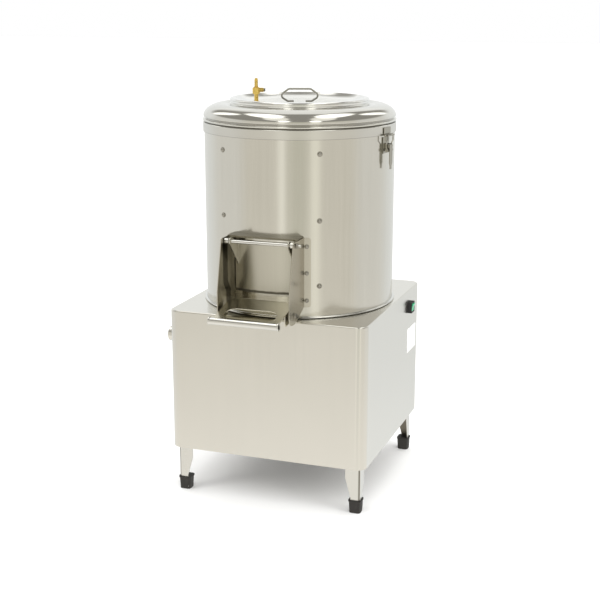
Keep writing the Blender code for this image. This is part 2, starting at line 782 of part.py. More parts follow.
def foot(name, side, end, base):
    """A rubber cup that is pushed over the end of a leg."""
    edge = -FOOT_SKIN - GAP
    body_top = FOOT_HEIGHT - FOOT_LIP_HEIGHT

    def ring(grow, height):
        plan = rectangle(edge - grow, edge - grow, edge + FOOT_SIDE + grow, edge + FOOT_SIDE + grow,
                         FOOT_CORNER, CORNER_STEPS)
        return at_corner(plan, side, end, height)

    sections = [
        (-FOOT_LIP, 0),
        (0, body_top),
        (FOOT_LIP, body_top + FOOT_LIP),
        (FOOT_LIP, FOOT_HEIGHT),
    ]
    made = piece(name, loft([ring(*section) for section in sections]), "rubber", base)
    slot = leg_outline(LEG_TOE, GAP)
    pocket = loft([at_corner(slot, side, end, z) for z in (FOOT_SOLE, FOOT_HEIGHT + OVERRUN)])
    return shape(made, pocket, "DIFFERENCE", "pocket")


def service_outline(grow):
    """The service cover's outline on the rear wall, grown or drawn in, as (z, x)."""
    half = SERVICE_WIDTH / 2 + grow
    return rectangle(SERVICE_BOTTOM - grow, -half, SERVICE_BOTTOM + SERVICE_HEIGHT + grow, half,
                     SERVICE_CORNER)


def louvre_places():
    """The middle and the lowest height of each louvre."""
    first = SERVICE_BOTTOM + (SERVICE_HEIGHT - (LOUVRE_ROWS - 1) * LOUVRE_PITCH - LOUVRE_HEIGHT) / 2
    for column in range(LOUVRE_COLUMNS):
        for row in range(LOUVRE_ROWS):
            yield (column - (LOUVRE_COLUMNS - 1) / 2) * LOUVRE_SPREAD, first + row * LOUVRE_PITCH


def rear_panel(base):
    """The louvred service cover, screwed over the rear opening."""
    inner = REAR_FACE + GAP
    face = inner + SERVICE_SHEET
    middle = inner + SERVICE_SHEET / 2
    tip = face + LOUVRE_DEPTH
    panel = piece("rear_panel", prism(service_outline(0), inner, face, "Y"), "satin_steel", base)
    hoods, slots = [], []
    for x, low in louvre_places():
        top = low + LOUVRE_HEIGHT
        shoulder = low + 2 * LOUVRE_SKIN
        hood = [(middle, low), (tip, low), (tip, shoulder), (face, top), (middle, top)]
        inner_top = top - 2 * LOUVRE_SKIN
        slot = [
            (inner - OVERRUN, low + LOUVRE_SKIN),
            (face + LOUVRE_BITE, low + LOUVRE_SKIN),
            (face + LOUVRE_BITE, low - OVERRUN),
            (tip - LOUVRE_SKIN, low - OVERRUN),
            (tip - LOUVRE_SKIN, shoulder),
            (face, inner_top),
            (inner - OVERRUN, inner_top),
        ]
        half = LOUVRE_LENGTH / 2
        hoods.append(prism(hood, x - half, x + half, "X"))
        slots.append(prism(slot, x - half + LOUVRE_SKIN, x + half - LOUVRE_SKIN, "X"))
    shape(panel, merged(*hoods), "UNION", "hoods")
    return shape(panel, merged(*slots), "DIFFERENCE", "slots")


# Drum, lining and clamp strips

def bolt_places():
    """The angle and the height of each bolt through the drum."""
    for angle in STRIP_PLACES.values():
        for index in range(STRIP_BOLTS):
            yield angle, STRIP_BOLT_FIRST + index * STRIP_BOLT_PITCH


STRIP_PLACES = {
    "clamp_strip_front_right": STRIP_ANGLE,
    "clamp_strip_front_left": -STRIP_ANGLE,
    "clamp_strip_rear_right": math.pi - STRIP_ANGLE,
    "clamp_strip_rear_left": math.pi + STRIP_ANGLE,
}


def drum_holes():
    """The discharge opening and the bolt holes, which the drum and its lining share."""
    far = -DRUM_RADIUS - OVERRUN
    near = -LINER_BORE + OVERRUN
    opening = prism(rectangle(OPENING_BOTTOM, -OPENING_HALF, OPENING_TOP, OPENING_HALF, GASKET_WIDTH / 2),
                    far, -DRUM_RADIUS * math.cos(OPENING_HALF / DRUM_RADIUS) + LINER_SHEET + 2 * OVERRUN, "Y")
    holes = [moved(rod(BOLT_HOLE, far, near, "Y", (height, 0), BOLT_STEPS), about_z(angle))
             for angle, height in bolt_places()]
    return merged(opening, *holes)


def drum(base):
    """The drum's wall, with a rolled bead at its foot and a lap that stands on the cabinet."""
    bead = arc((DRUM_RADIUS, DRUM_BASE + DRUM_BEAD_HEIGHT / 2), DRUM_BEAD, math.pi / 2, -math.pi / 2,
               ARC_STEPS, DRUM_BEAD_HEIGHT / DRUM_BEAD / 2)
    profile = [(DRUM_BORE, DRUM_RIM), (DRUM_RADIUS, DRUM_RIM)] + bead + [
        (DRUM_BORE - DRUM_FOOT_LAP, DRUM_BASE),
        (DRUM_BORE - DRUM_FOOT_LAP, DRUM_BASE + DRUM_SHEET),
        (DRUM_BORE, DRUM_BASE + DRUM_SHEET),
    ]
    return shape(piece("drum", turned(profile), "brushed_steel", base), drum_holes(), "DIFFERENCE", "holes")


def abrasive_liner(base):
    """The abrasive sleeve inside the drum."""
    profile = [(LINER_BORE, LINER_TOP), (LINER_RADIUS, LINER_TOP), (LINER_RADIUS, LINER_BOTTOM),
               (LINER_BORE, LINER_BOTTOM)]
    return shape(piece("abrasive_liner", turned(profile), "abrasive", base), drum_holes(), "DIFFERENCE",
                 "holes")


def clamp_strip(name, angle, base):
    """A strip inside the lining with the three domed bolts that hold it through the drum."""
    back = LINER_BORE - sunk(LINER_BORE) - GAP
    front = back - STRIP_SHEET
    half = STRIP_WIDTH / LINER_BORE / 2
    low, high = LINER_BOTTOM + STRIP_MARGIN, LINER_TOP - STRIP_MARGIN
    strip = piece(name, moved(prism(bent(-half, half, front, back, 2), low, high), about_z(angle)),
                  "brushed_steel", base)
    seat = DRUM_RADIUS + GAP
    rim = BOLT_HEAD_HEIGHT * BOLT_HEAD_RIM_SHARE
    dome = arc((0, seat + rim), BOLT_HEAD_RADIUS, 0, math.pi / 2, ARC_STEPS - 1,
               (BOLT_HEAD_HEIGHT - rim) / BOLT_HEAD_RADIUS)
    start = front + STRIP_SHEET / 2
    profile = [(0, start), (BOLT_RADIUS, start), (BOLT_RADIUS, seat), (BOLT_HEAD_RADIUS, seat)] + dome[:-1]
    profile.append((0, seat + BOLT_HEAD_HEIGHT))
    outward = [(radius, -reach) for radius, reach in profile]
    bolts = [moved(turned(outward, BOLT_STEPS, "Y", (STRIP_BOLT_FIRST + index * STRIP_BOLT_PITCH, 0)),
                   about_z(angle))
             for index in range(STRIP_BOLTS)]
    return shape(strip, merged(*bolts), "UNION", "bolts")


# Chute frame, hood, sill and hinge rod

def drum_face(x):
    """Where a piece that sits against the drum's front ends, at a distance from its middle."""
    return -math.sqrt((DRUM_RADIUS + GAP) ** 2 - x ** 2)


def chute_side(name, side, base):
    """A side plate of the chute, with the flange that is bolted to the drum."""
    inner = CHUTE_PLACE - CHUTE_SHEET / 2
    rear = drum_face(inner)
    outline = rounded([
        (rear, CHUTE_TOP, 0),
        (-CHUTE_HINGE_REACH, CHUTE_TOP, CHUTE_CORNER),
        (-CHUTE_HINGE_REACH, CHUTE_SLANT_TOP, 0),
        (-CHUTE_LEVER_REACH, CHUTE_SLANT_FOOT, CHUTE_LOBE_RADIUS),
        (-CHUTE_LEVER_REACH, CHUTE_LOBE_BOTTOM, CHUTE_LOBE_RADIUS),
        (-CHUTE_LOBE_REAR, CHUTE_LOBE_BOTTOM, CHUTE_CORNER),
        (rear, CHUTE_REAR_FOOT, 0),
    ])
    low, high = sorted((side * inner, side * (inner + CHUTE_SHEET)))
    plate = piece(name, prism(outline, low, high, "X"), "brushed_steel", base)
    shape(plate, chute_flange(side), "UNION", "flange")
    cut_low, cut_high = low - OVERRUN, high + OVERRUN
    return shape(plate, merged(
        rod(clear_hole(HINGE_END_RADIUS), cut_low, cut_high, "X", (-HINGE_REACH, HINGE_HEIGHT)),
        rod(clear_hole(PIVOT_BOLT_RADIUS), cut_low, cut_high, "X", (-LEVER_REACH, LEVER_HEIGHT)),
    ), "DIFFERENCE", "holes")


def chute_flange(side):
    """The curved flange that lies on the drum, with its far corners rounded."""
    near = DRUM_RADIUS + GAP
    far = near + CHUTE_FLANGE_SHEET
    start = math.asin(CHUTE_PLACE / near)
    end = math.asin((CHUTE_PLACE + CHUTE_SHEET / 2 + CHUTE_FLANGE) / near)
    round_off = CHUTE_FLANGE_CORNER / near
    stations = [(start, 0), ((start + end - round_off) / 2, 0)]
    for step in range(ARC_STEPS + 1):
        turn = math.pi / 2 * step / ARC_STEPS
        stations.append((end - round_off * (1 - math.sin(turn)), CHUTE_FLANGE_CORNER * (1 - math.cos(turn))))
    rings = []
    for angle, inset in stations:
        low, high = CHUTE_FLANGE_BOTTOM + inset, CHUTE_FLANGE_TOP - inset
        across, along = side * math.sin(angle), -math.cos(angle)
        rings.append([(near * across, near * along, low), (far * across, far * along, low),
                      (far * across, far * along, high), (near * across, near * along, high)])
    return loft(rings)


def shelf(name, reach, top, sheet, lip, base):
    """A folded strip between the chute's sides, cut to the drum behind and turned down in front."""
    half = CHUTE_PLACE - CHUTE_SHEET / 2 - GAP
    rings = []
    for step in range(DOOR_STEPS + 1):
        x = half * (2 * step / DOOR_STEPS - 1)
        rear = drum_face(x)
        section = [(rear, top), (-reach, top), (-reach, top - lip), (sheet - reach, top - lip),
                   (sheet - reach, top - sheet), (rear, top - sheet)]
        rings.append([(x, y, z) for y, z in section])
    return piece(name, loft(rings), "brushed_steel", base)


def hinge_rod(base):
    """The rod that the door hangs on, with a collar inside each side plate."""
    collar_out = CHUTE_PLACE - CHUTE_SHEET / 2 - GAP
    collar_in = collar_out - HINGE_COLLAR_LENGTH
    outside = CHUTE_PLACE + CHUTE_SHEET / 2
    left, right = -outside - HINGE_END_LEFT, outside + HINGE_END_RIGHT
    profile = [
        (0, right), (HINGE_END_RADIUS, right), (HINGE_END_RADIUS, collar_out), (HINGE_COLLAR, collar_out),
        (HINGE_COLLAR, collar_in), (HINGE_RADIUS, collar_in), (HINGE_RADIUS, -collar_in),
        (HINGE_COLLAR, -collar_in), (HINGE_COLLAR, -collar_out), (HINGE_END_RADIUS, -collar_out),
        (HINGE_END_RADIUS, left), (0, left),
    ]
    rod_mesh = turned(profile, SHAFT_STEPS, "X", (-HINGE_REACH, HINGE_HEIGHT))
    return piece("hinge_rod", rod_mesh, "polished_steel", base)


def nut(corner, bore, low, high, axis, centre):
    """A hexagon nut with a plain bore."""
    half_turn = math.pi / 6
    hexagon = [corner * (1 if step % 2 == 0 else math.cos(half_turn)) for step in range(NUT_STEPS)]
    flats = [(centre[0] + reach * math.cos(step * half_turn), centre[1] + reach * math.sin(step * half_turn))
             for step, reach in enumerate(hexagon)]
    hole = circle(bore, NUT_STEPS, centre)
    rings = [[oriented(point, height, axis) for point in outline]
             for outline, height in ((flats, low), (flats, high), (hole, high), (hole, low))]
    return loft(rings, closed=True)


def hinge_nut(name, side, base):
    """A nut on the rod's end, outside the side plate."""
    near = CHUTE_PLACE + CHUTE_SHEET / 2 + GAP
    low, high = sorted((side * near, side * (near + HINGE_NUT_LENGTH)))
    bore = clear_hole(HINGE_END_RADIUS, NUT_STEPS)
    return piece(name, nut(HINGE_NUT_RADIUS, bore, low, high, "X", (-HINGE_REACH, HINGE_HEIGHT)),
                 "polished_steel", base)


# Discharge door and its gasket

def boss_hull(centre, radius, low, high):
    """The outline of a plate with a round boss, drawn in by tangents to two points behind the boss."""
    middle = Vector(centre)

    def tangent(point, side):
        away = Vector(point) - middle
        return math.atan2(away.y, away.x) + side * math.acos(radius / away.length)

    start, end = tangent(low, -1), tangent(high, 1)
    while end < start:
        end += 2 * math.pi
    return [tuple(low)] + arc(centre, radius, start + 2 * math.pi, end, 3 * ARC_STEPS) + [tuple(high)]


def door_outer():
    """The radius of the door's outer face."""
    return DRUM_RADIUS + DOOR_STAND_OFF + DOOR_SHEET


def discharge_door(hinge):
    """The curved door with the two ears that it hangs by."""
    outer = door_outer()
    inner = outer - DOOR_SHEET
    spread = math.asin(DOOR_HALF / outer)
    door = piece("discharge_door", prism(bent(-spread, spread, inner, outer, DOOR_STEPS), DOOR_BOTTOM,
                                         DOOR_TOP),
                 "brushed_steel", hinge)
    root = -math.sqrt(outer ** 2 - (EAR_PLACE + EAR_SHEET / 2) ** 2) + EAR_BITE
    outline = boss_hull((-HINGE_REACH, HINGE_HEIGHT), EAR_BOSS, (root, DOOR_TOP - EAR_FOOT_BOTTOM),
                        (root, DOOR_TOP - EAR_FOOT_TOP))
    ears = [prism(outline, side * EAR_PLACE - EAR_SHEET / 2, side * EAR_PLACE + EAR_SHEET / 2, "X")
            for side in (-1, 1)]
    shape(door, merged(*ears), "UNION", "ears")
    reach = EAR_PLACE + EAR_SHEET
    eye = rod(clear_hole(HINGE_RADIUS), -reach, reach, "X", (-HINGE_REACH, HINGE_HEIGHT))
    return shape(door, eye, "DIFFERENCE", "eye")


def door_gasket(hinge):
    """The rubber frame behind the door, which seals it against the drum."""
    inner = DRUM_RADIUS + GAP
    outer = DRUM_RADIUS + DOOR_STAND_OFF - GAP
    half = DOOR_HALF - GASKET_MARGIN
    spread = math.asin(half / outer)
    low, high = DOOR_BOTTOM + GASKET_MARGIN, DOOR_TOP - GASKET_MARGIN
    frame = piece("door_gasket", prism(bent(-spread, spread, inner, outer, DOOR_STEPS), low, high),
                  "gasket_rubber", hinge)
    window = rectangle(low + GASKET_WIDTH, GASKET_WIDTH - half, high - GASKET_WIDTH, half - GASKET_WIDTH,
                       GASKET_WIDTH / 2)
    depth = -DRUM_RADIUS * math.cos(DOOR_HALF / DRUM_RADIUS)
    return shape(frame, prism(window, -outer - OVERRUN, depth + OVERRUN, "Y"), "DIFFERENCE", "window")


# Lock lever

def lever_top(y):
    """The height of the lever plate's upper face, which slopes down to the front."""
    share = (-y - LEVER_BACK_REACH) / (LEVER_FRONT_REACH - LEVER_BACK_REACH)
    return LEVER_BACK_HEIGHT + share * (LEVER_FRONT_HEIGHT - LEVER_BACK_HEIGHT)


def lock_lever(fulcrum):
    """The slotted plate that blocks the door when its front is pushed down, with its two side arms."""
    half = LEVER_HALF - LEVER_SHEET / 2
    back, front = -LEVER_BACK_REACH, -LEVER_FRONT_REACH
    plan = [
        (-LEVER_BACK_HALF, back), (-half, back - LEVER_CHAMFER), (-half, front),
        (half, front), (half, back - LEVER_CHAMFER), (LEVER_BACK_HALF, back),
    ]
    rings = [[(x, y, lever_top(y) - drop) for x, y in plan] for drop in (LEVER_SHEET, 0)]
    lever = piece("lock_lever", loft(rings), "brushed_steel", fulcrum)
    arm_rear = LEVER_ARM_RADIUS - LEVER_REACH
    arm_front = -LEVER_ARM_REACH
    bottom = LEVER_HEIGHT - LEVER_ARM_DROP
    outline = rounded([
        (arm_rear, lever_top(arm_rear) - LEVER_SHEET / 2, 0),
        (arm_front, lever_top(arm_front) - LEVER_SHEET / 2, 0),
        (arm_front, bottom - LEVER_ARM_SAG, LEVER_ARM_CORNER),
        (arm_rear, bottom, LEVER_ARM_CORNER),
    ])
    arms = []
    for side in (-1, 1):
        low, high = sorted((side * (LEVER_HALF - LEVER_SHEET), side * LEVER_HALF))
        arms.append(prism(outline, low, high, "X"))
    shape(lever, merged(*arms), "UNION", "arms")
    end_radius = (LEVER_SLOT_FRONT - LEVER_SLOT_BACK) / 2
    slot = rectangle(-LEVER_SLOT_HALF, -LEVER_SLOT_FRONT, LEVER_SLOT_HALF, -LEVER_SLOT_BACK,
                     end_radius * SLOT_ROUND_SHARE, 2 * ARC_STEPS)
    reach = LEVER_HALF + OVERRUN
    return shape(lever, merged(
        prism(slot, lever_top(-LEVER_SLOT_FRONT) - LEVER_SHEET - OVERRUN,
              lever_top(-LEVER_SLOT_BACK) + OVERRUN),
        rod(clear_hole(PIVOT_BOLT_RADIUS), -reach, reach, "X", (-LEVER_REACH, LEVER_HEIGHT)),
    ), "DIFFERENCE", "openings")


def lever_grip(fulcrum):
    """The tube across the lever's front, with a rolled rim at each end."""
    flange = GRIP_HALF - GRIP_FLANGE_LENGTH
    outer = [(GRIP_FLANGE, GRIP_HALF), (GRIP_FLANGE, flange), (GRIP_RADIUS, flange),
             (GRIP_RADIUS, -flange), (GRIP_FLANGE, -flange), (GRIP_FLANGE, -GRIP_HALF)]
    profile = [(GRIP_BORE, GRIP_HALF)] + outer + [(GRIP_BORE, -GRIP_HALF)]
    return piece("lever_grip", turned(profile, SHAFT_STEPS, "X", (-GRIP_REACH, GRIP_HEIGHT)),
                 "polished_steel", fulcrum)


def pivot_bolt(name, side, base):
    """The bolt that the lever turns on: head outside, spacer between plate and arm, nut inside the arm."""
    plate_out = CHUTE_PLACE + CHUTE_SHEET / 2 + GAP
    plate_in = CHUTE_PLACE - CHUTE_SHEET / 2 - GAP
    arm_out = LEVER_HALF + GAP
    arm_in = LEVER_HALF - LEVER_SHEET - GAP
    tip = arm_in - PIVOT_NUT_LENGTH
    head = plate_out + PIVOT_HEAD_LENGTH
    profile = [
        (0, head), (PIVOT_HEAD_RADIUS, head), (PIVOT_HEAD_RADIUS, plate_out), (PIVOT_BOLT_RADIUS, plate_out),
        (PIVOT_BOLT_RADIUS, plate_in), (PIVOT_NUT_RADIUS, plate_in), (PIVOT_NUT_RADIUS, arm_out),
        (PIVOT_BOLT_RADIUS, arm_out), (PIVOT_BOLT_RADIUS, arm_in), (PIVOT_NUT_RADIUS, arm_in),
        (PIVOT_NUT_RADIUS, tip), (0, tip),
    ]
    sided = [(radius, side * reach) for radius, reach in profile]
    return piece(name, turned(sided, BOLT_STEPS, "X", (-LEVER_REACH, LEVER_HEIGHT)), "polished_steel", base)


# Cover ring

def dome_centre():
    """The middle of the domed quarter of the ring's section, as (radius, height)."""
    return DRUM_RADIUS + RING_DOME_BULGE - RING_DOME_WIDTH, DRUM_RIM + RING_DOME_RISE


def ring_bore():
    """The radius inside the ring's skirt, which slides over the drum."""
    return DRUM_RADIUS + RING_FIT


def ledge_height():
    """The height of the ledge that the lid stands on."""
    return dome_centre()[1] + RING_DOME_HEIGHT - RING_LEDGE_DROP


def cover_ring(base):
    """The domed ring on the drum's rim: skirt, rolled bead, dome, and the ledge that the lid stands on."""
    skirt = ring_bore() + RING_SHEET
    bead_low = DRUM_RIM + RING_BEAD_BOTTOM
    bead_high = bead_low + RING_BEAD_HEIGHT
    centre = dome_centre()
    squash = RING_DOME_HEIGHT / RING_DOME_WIDTH
    inner_squash = (RING_DOME_HEIGHT - RING_SHEET) / (RING_DOME_WIDTH - RING_SHEET)
    neck = skirt - RING_NECK
    ledge_edge = centre[0] - RING_LEDGE_WIDTH
    ledge = ledge_height()
    outer = [(skirt, DRUM_RIM - RING_SKIRT), (skirt, DRUM_RIM + RING_BEAD_BOTTOM / 2)]
    outer += [(neck - RING_NECK, bead_low - RING_NECK / 2)]
    outer += arc((neck, (bead_low + bead_high) / 2), RING_BEAD_HEIGHT / 2, -math.pi / 2, math.pi / 2,
                 CORNER_STEPS)
    outer += [(neck - RING_NECK / 2, bead_high + RING_NECK / 2)]
    outer += arc(centre, RING_DOME_WIDTH, 0, math.pi / 2, RING_DOME_STEPS, squash)
    seat_edge = LID_RADIUS + RING_LEDGE_ROOM
    outer += [(seat_edge, ledge), (ledge_edge + RING_SHEET, ledge), (ledge_edge, ledge - RING_SHEET)]
    outer += [(ledge_edge, ledge - RING_LIP_DROP), (ledge_edge + RING_SHEET, ledge - RING_LIP_DROP)]
    inner = [(ledge_edge + RING_SHEET, ledge - RING_SHEET), (seat_edge, ledge - RING_SHEET)]
    inner += arc(centre, RING_DOME_WIDTH - RING_SHEET, math.pi / 2, 0, CORNER_STEPS, inner_squash)
    inner += [(neck - RING_NECK - RING_SHEET, bead_high),
              (neck - RING_NECK - RING_SHEET, bead_low - RING_NECK)]
    inner += [(ring_bore(), DRUM_RIM + RING_BEAD_BOTTOM / 2 - RING_SHEET),
              (ring_bore(), DRUM_RIM - RING_SKIRT)]
    return piece("cover_ring", turned(outer + inner), "polished_steel", base)


# Lid, handle and water inlet

def lid_levels():
    """The lid's own heights: its foot, the top of its wall and its dished floor."""
    foot = ledge_height() + GAP
    wall = foot + LID_WALL
    return foot, wall, wall + LID_ROLL_HEIGHT - LID_DISH_DROP


def lid(lift):
    """The dished lid, with two beads round its wall, a rolled top and a locating spigot underneath."""
    foot, wall, floor = lid_levels()
    top = wall + LID_ROLL_HEIGHT
    groove = LID_RADIUS - LID_BEAD
    roll = (LID_RADIUS - LID_ROLL_WIDTH, wall)
    outer = [
        (LID_RADIUS, foot), (LID_RADIUS, foot + LID_BEAD_HEIGHT - LID_BEAD / 2),
        (groove, foot + LID_BEAD_HEIGHT), (LID_RADIUS, foot + LID_BEAD_HEIGHT + LID_BEAD / 2),
        (LID_RADIUS, wall - LID_BEAD), (groove, wall - LID_BEAD / 2),
    ]
    outer += arc(roll, LID_ROLL_WIDTH, 0, math.pi / 2, ARC_STEPS, LID_ROLL_HEIGHT / LID_ROLL_WIDTH)
    slope = LID_DISH_RADIUS - LID_FLOOR_RADIUS
    outer += [(roll[0] - LID_SHEET, top - LID_SHEET / 4), (LID_DISH_RADIUS, floor + slope / 8),
              (LID_FLOOR_RADIUS, floor)]
    spigot = LID_SPIGOT_RADIUS - LID_SHEET
    inner = [
        (0, floor), (0, floor - LID_SHEET), (LID_FLOOR_RADIUS, floor - LID_SHEET),
        (spigot, foot), (LID_SPIGOT_RADIUS - LID_SPIGOT_FOOT, foot - LID_SPIGOT_DEPTH),
        (LID_SPIGOT_RADIUS - LID_SPIGOT_FOOT + LID_SHEET, foot - LID_SPIGOT_DEPTH), (LID_SPIGOT_RADIUS, foot),
    ]
    cover = piece("lid", turned(outer + inner), "polished_steel", lift)
    hole = rod(clear_hole(INLET_NIPPLE_RADIUS), floor - LID_SHEET - OVERRUN, floor + OVERRUN,
               centre=inlet_place())
    return shape(cover, hole, "DIFFERENCE", "inlet_hole")


def inlet_place():
    """Where the water inlet stands, on the line of the handle."""
    return -INLET_PLACE * math.cos(LID_TURN), -INLET_PLACE * math.sin(LID_TURN)


def lid_handle(lift):
    """The bent strap handle, its flat feet welded to the lid's floor."""
    floor = lid_levels()[2] + GAP
    sheet = HANDLE_SHEET
    half_line = [
        (HANDLE_TOE_HALF, 0, 0), (HANDLE_FOOT_HALF, 0, HANDLE_BEND),
        (HANDLE_BULGE_HALF, HANDLE_BULGE_RISE, HANDLE_BEND),
        (HANDLE_TOP_HALF, HANDLE_RISE, HANDLE_BEND),
    ]
    line = rounded([(x, z, radius) for x, z, radius in half_line]
                   + [(-x, z, radius) for x, z, radius in reversed(half_line)], 3)
    spine = [Vector((x, floor + z + sheet / 2)) for x, z in line]
    near, far = [], []
    for index, here in enumerate(spine):
        before = spine[max(index - 1, 0)]
        after = spine[min(index + 1, len(spine) - 1)]
        side = (after - before).normalized().orthogonal() * sheet / 2
        near.append(here + side)
        far.append(here - side)
    outline = [(point.y, point.x) for point in near + far[::-1]]
    half = HANDLE_WIDTH / 2
    return piece("lid_handle", moved(prism(outline, -half, half, "Y"), about_z(LID_TURN)),
                 "polished_steel", lift)


def inlet_valve(lift):
    """The brass inlet: nipple, hexagon body, barbed hose tail, and a side stub for the flow screw."""
    floor = lid_levels()[2]
    low = floor + INLET_NIPPLE_HEIGHT
    high = low + INLET_HEX_HEIGHT
    centre = inlet_place()
    collar = floor + GAP
    nipple = [(0, floor - INLET_DROP), (INLET_STEM, floor - INLET_DROP), (INLET_STEM, collar),
              (INLET_COLLAR, collar),
              (INLET_COLLAR, collar + INLET_COLLAR_HEIGHT),
              (INLET_NIPPLE_RADIUS, collar + INLET_COLLAR_HEIGHT),
              (INLET_NIPPLE_RADIUS, low)]
    tail = []
    barb = INLET_TAIL_HEIGHT / (INLET_BARBS + 1)
    for index in range(INLET_BARBS):
        foot = high + barb * (index + 1)
        tail += [(INLET_TAIL_RADIUS, foot), (INLET_TAIL_RADIUS + INLET_BARB, foot),
                 (INLET_TAIL_RADIUS, foot + barb * 3 / 4)]
    hexagon = INLET_HEX / math.cos(math.pi / 6)
    top = high + INLET_TAIL_HEIGHT
    stem = nipple + [(INLET_TAIL_RADIUS, low + INLET_HEX_HEIGHT / 2)] + tail + [(INLET_TAIL_RADIUS, top),
                                                                                (0, top)]
    valve = piece("inlet_valve", turned(stem, BOLT_STEPS, "Z", centre), "brass", lift)
    body = prism(circle(hexagon, 6, centre, LID_TURN), low, high)
    middle = low + INLET_HEX_HEIGHT / 2
    stub = moved(rod(INLET_STUB_RADIUS, -INLET_PLACE, INLET_STUB_REACH - INLET_PLACE, "X", (0, middle),
                     BOLT_STEPS),
                 about_z(LID_TURN))
    shape(valve, body, "UNION", "body")
    shape(valve, stub, "UNION", "stub")
    seat = INLET_STUB_REACH - INLET_PLACE
    ways = merged(
        rod(INLET_BORE, floor - INLET_DROP - OVERRUN, top + OVERRUN, centre=centre, steps=BOLT_STEPS),
        moved(rod(SCREW_BORE, seat - SCREW_DEPTH - OVERRUN, seat + OVERRUN, "X", (0, middle), BOLT_STEPS),
              about_z(LID_TURN)),
    )
    return shape(valve, ways, "DIFFERENCE", "ways")


def flow_screw(stem):
    """The slotted steel screw in the inlet's side, which sets the flow of water."""
    middle = lid_levels()[2] + INLET_NIPPLE_HEIGHT + INLET_HEX_HEIGHT / 2
    seat = INLET_STUB_REACH - INLET_PLACE
    head = seat + GAP
    profile = [(0, seat - SCREW_DEPTH + GAP), (SCREW_RADIUS, seat - SCREW_DEPTH + GAP), (SCREW_RADIUS, head),
               (SCREW_HEAD_RADIUS, head), (SCREW_HEAD_RADIUS, head + SCREW_HEAD_LENGTH),
               (0, head + SCREW_HEAD_LENGTH)]
    screw = piece("flow_screw", moved(turned(profile, BOLT_STEPS, "X", (0, middle)), about_z(LID_TURN)),
                  "polished_steel", stem)
    end = head + SCREW_HEAD_LENGTH
    slot = box((end - SCREW_SLOT_DEPTH, -SCREW_HEAD_RADIUS - OVERRUN, middle - SCREW_SLOT / 2),
               (end + OVERRUN, SCREW_HEAD_RADIUS + OVERRUN, middle + SCREW_SLOT / 2))
    return shape(screw, moved(slot, about_z(LID_TURN)), "DIFFERENCE", "slot")


def spray_nozzle(lift):
    """The rose under the lid that spreads the water."""
    top = lid_levels()[2] - LID_SHEET - GAP
    neck = top - SPRAY_NECK_HEIGHT
    foot = neck - SPRAY_HEIGHT
    bore = INLET_STEM + GAP
    profile = [(SPRAY_NECK, top), (SPRAY_NECK, neck), (SPRAY_RADIUS, foot + SPRAY_SKIN), (SPRAY_RADIUS, foot),
               (SPRAY_OUTLET, foot), (SPRAY_OUTLET, foot + SPRAY_SKIN), (bore, neck),
               (bore, top)]
    return piece("spray_nozzle", turned(profile, SHAFT_STEPS, "Z", inlet_place()), "brass", lift)


# Toggle latches. Each is drawn at the front and turned round the drum to its place.

def latch_pivot_height():
    """The height of the lever's pin."""
    return DRUM_RIM - LATCH_PIVOT_DROP


def latch_pivot_reach():
    """How far the lever's pin is from the drum's axis."""
    return DRUM_RADIUS + LATCH_PIVOT_OUT


def bail_eye_height():
    """The height of the bail's eyes, which are over the centre line when the latch is shut."""
    return latch_pivot_height() - LATCH_ARM


def bail_bar_height():
    """The height of the bail's bar, which lies in the strike's hook."""
    return bail_eye_height() + BAIL_TOP_RISE


def strike(name, angle, base):
    """The hook on the ring's skirt that the bail pulls down on."""
    near = ring_bore() + RING_SHEET + GAP
    far = near + STRIKE_SHEET
    half = STRIKE_WIDTH / 2
    bar = bail_bar_height()
    lip = latch_pivot_reach() + BAIL_WIRE + STRIKE_ROOM + STRIKE_SHEET
    floor = bar - BAIL_WIRE - GAP
    top = bar + STRIKE_RISE
    outline = [
        (-near, floor - STRIKE_SHEET), (-near, top), (-far, top), (-far, floor), (STRIKE_SHEET - lip, floor),
        (STRIKE_SHEET - lip, bar), (-lip, bar), (-lip, floor - STRIKE_SHEET),
    ]
    return piece(name, moved(prism(outline, -half, half, "X"), about_z(angle)), "polished_steel", base)


def latch_base(name, angle, base):
    """The plate on the drum with the two ears that hold the lever's pin."""
    near = DRUM_RADIUS + GAP
    far = near + LATCH_PLATE_SHEET
    middle = latch_pivot_height()
    half = LATCH_PLATE_HALF
    plate = [(-half, -near), (half, -near), (half, -far), (-half, -far)]
    made = piece(name, moved(prism(plate, middle - LATCH_PLATE_BOTTOM, middle + LATCH_PLATE_TOP),
                             about_z(angle)),
                 "polished_steel", base)
    root = -far + LATCH_PLATE_SHEET / 2
    outline = boss_hull((-latch_pivot_reach(), middle), LATCH_EAR_RADIUS, (root, middle - LATCH_EAR_RADIUS),
                        (root, middle + LATCH_EAR_RADIUS))
    ears = []
    for side in (-1, 1):
        low, high = sorted((side * LATCH_EAR_PLACE, side * (LATCH_EAR_PLACE + LATCH_EAR_SHEET)))
        ears.append(prism(outline, low, high, "X"))
    shape(made, moved(merged(*ears), about_z(angle)), "UNION", "ears")
    eye = rod(clear_hole(LATCH_PIN), -half - OVERRUN, half + OVERRUN, "X", (-latch_pivot_reach(), middle),
              BOLT_STEPS)
    return shape(made, moved(eye, about_z(angle)), "DIFFERENCE", "eye")


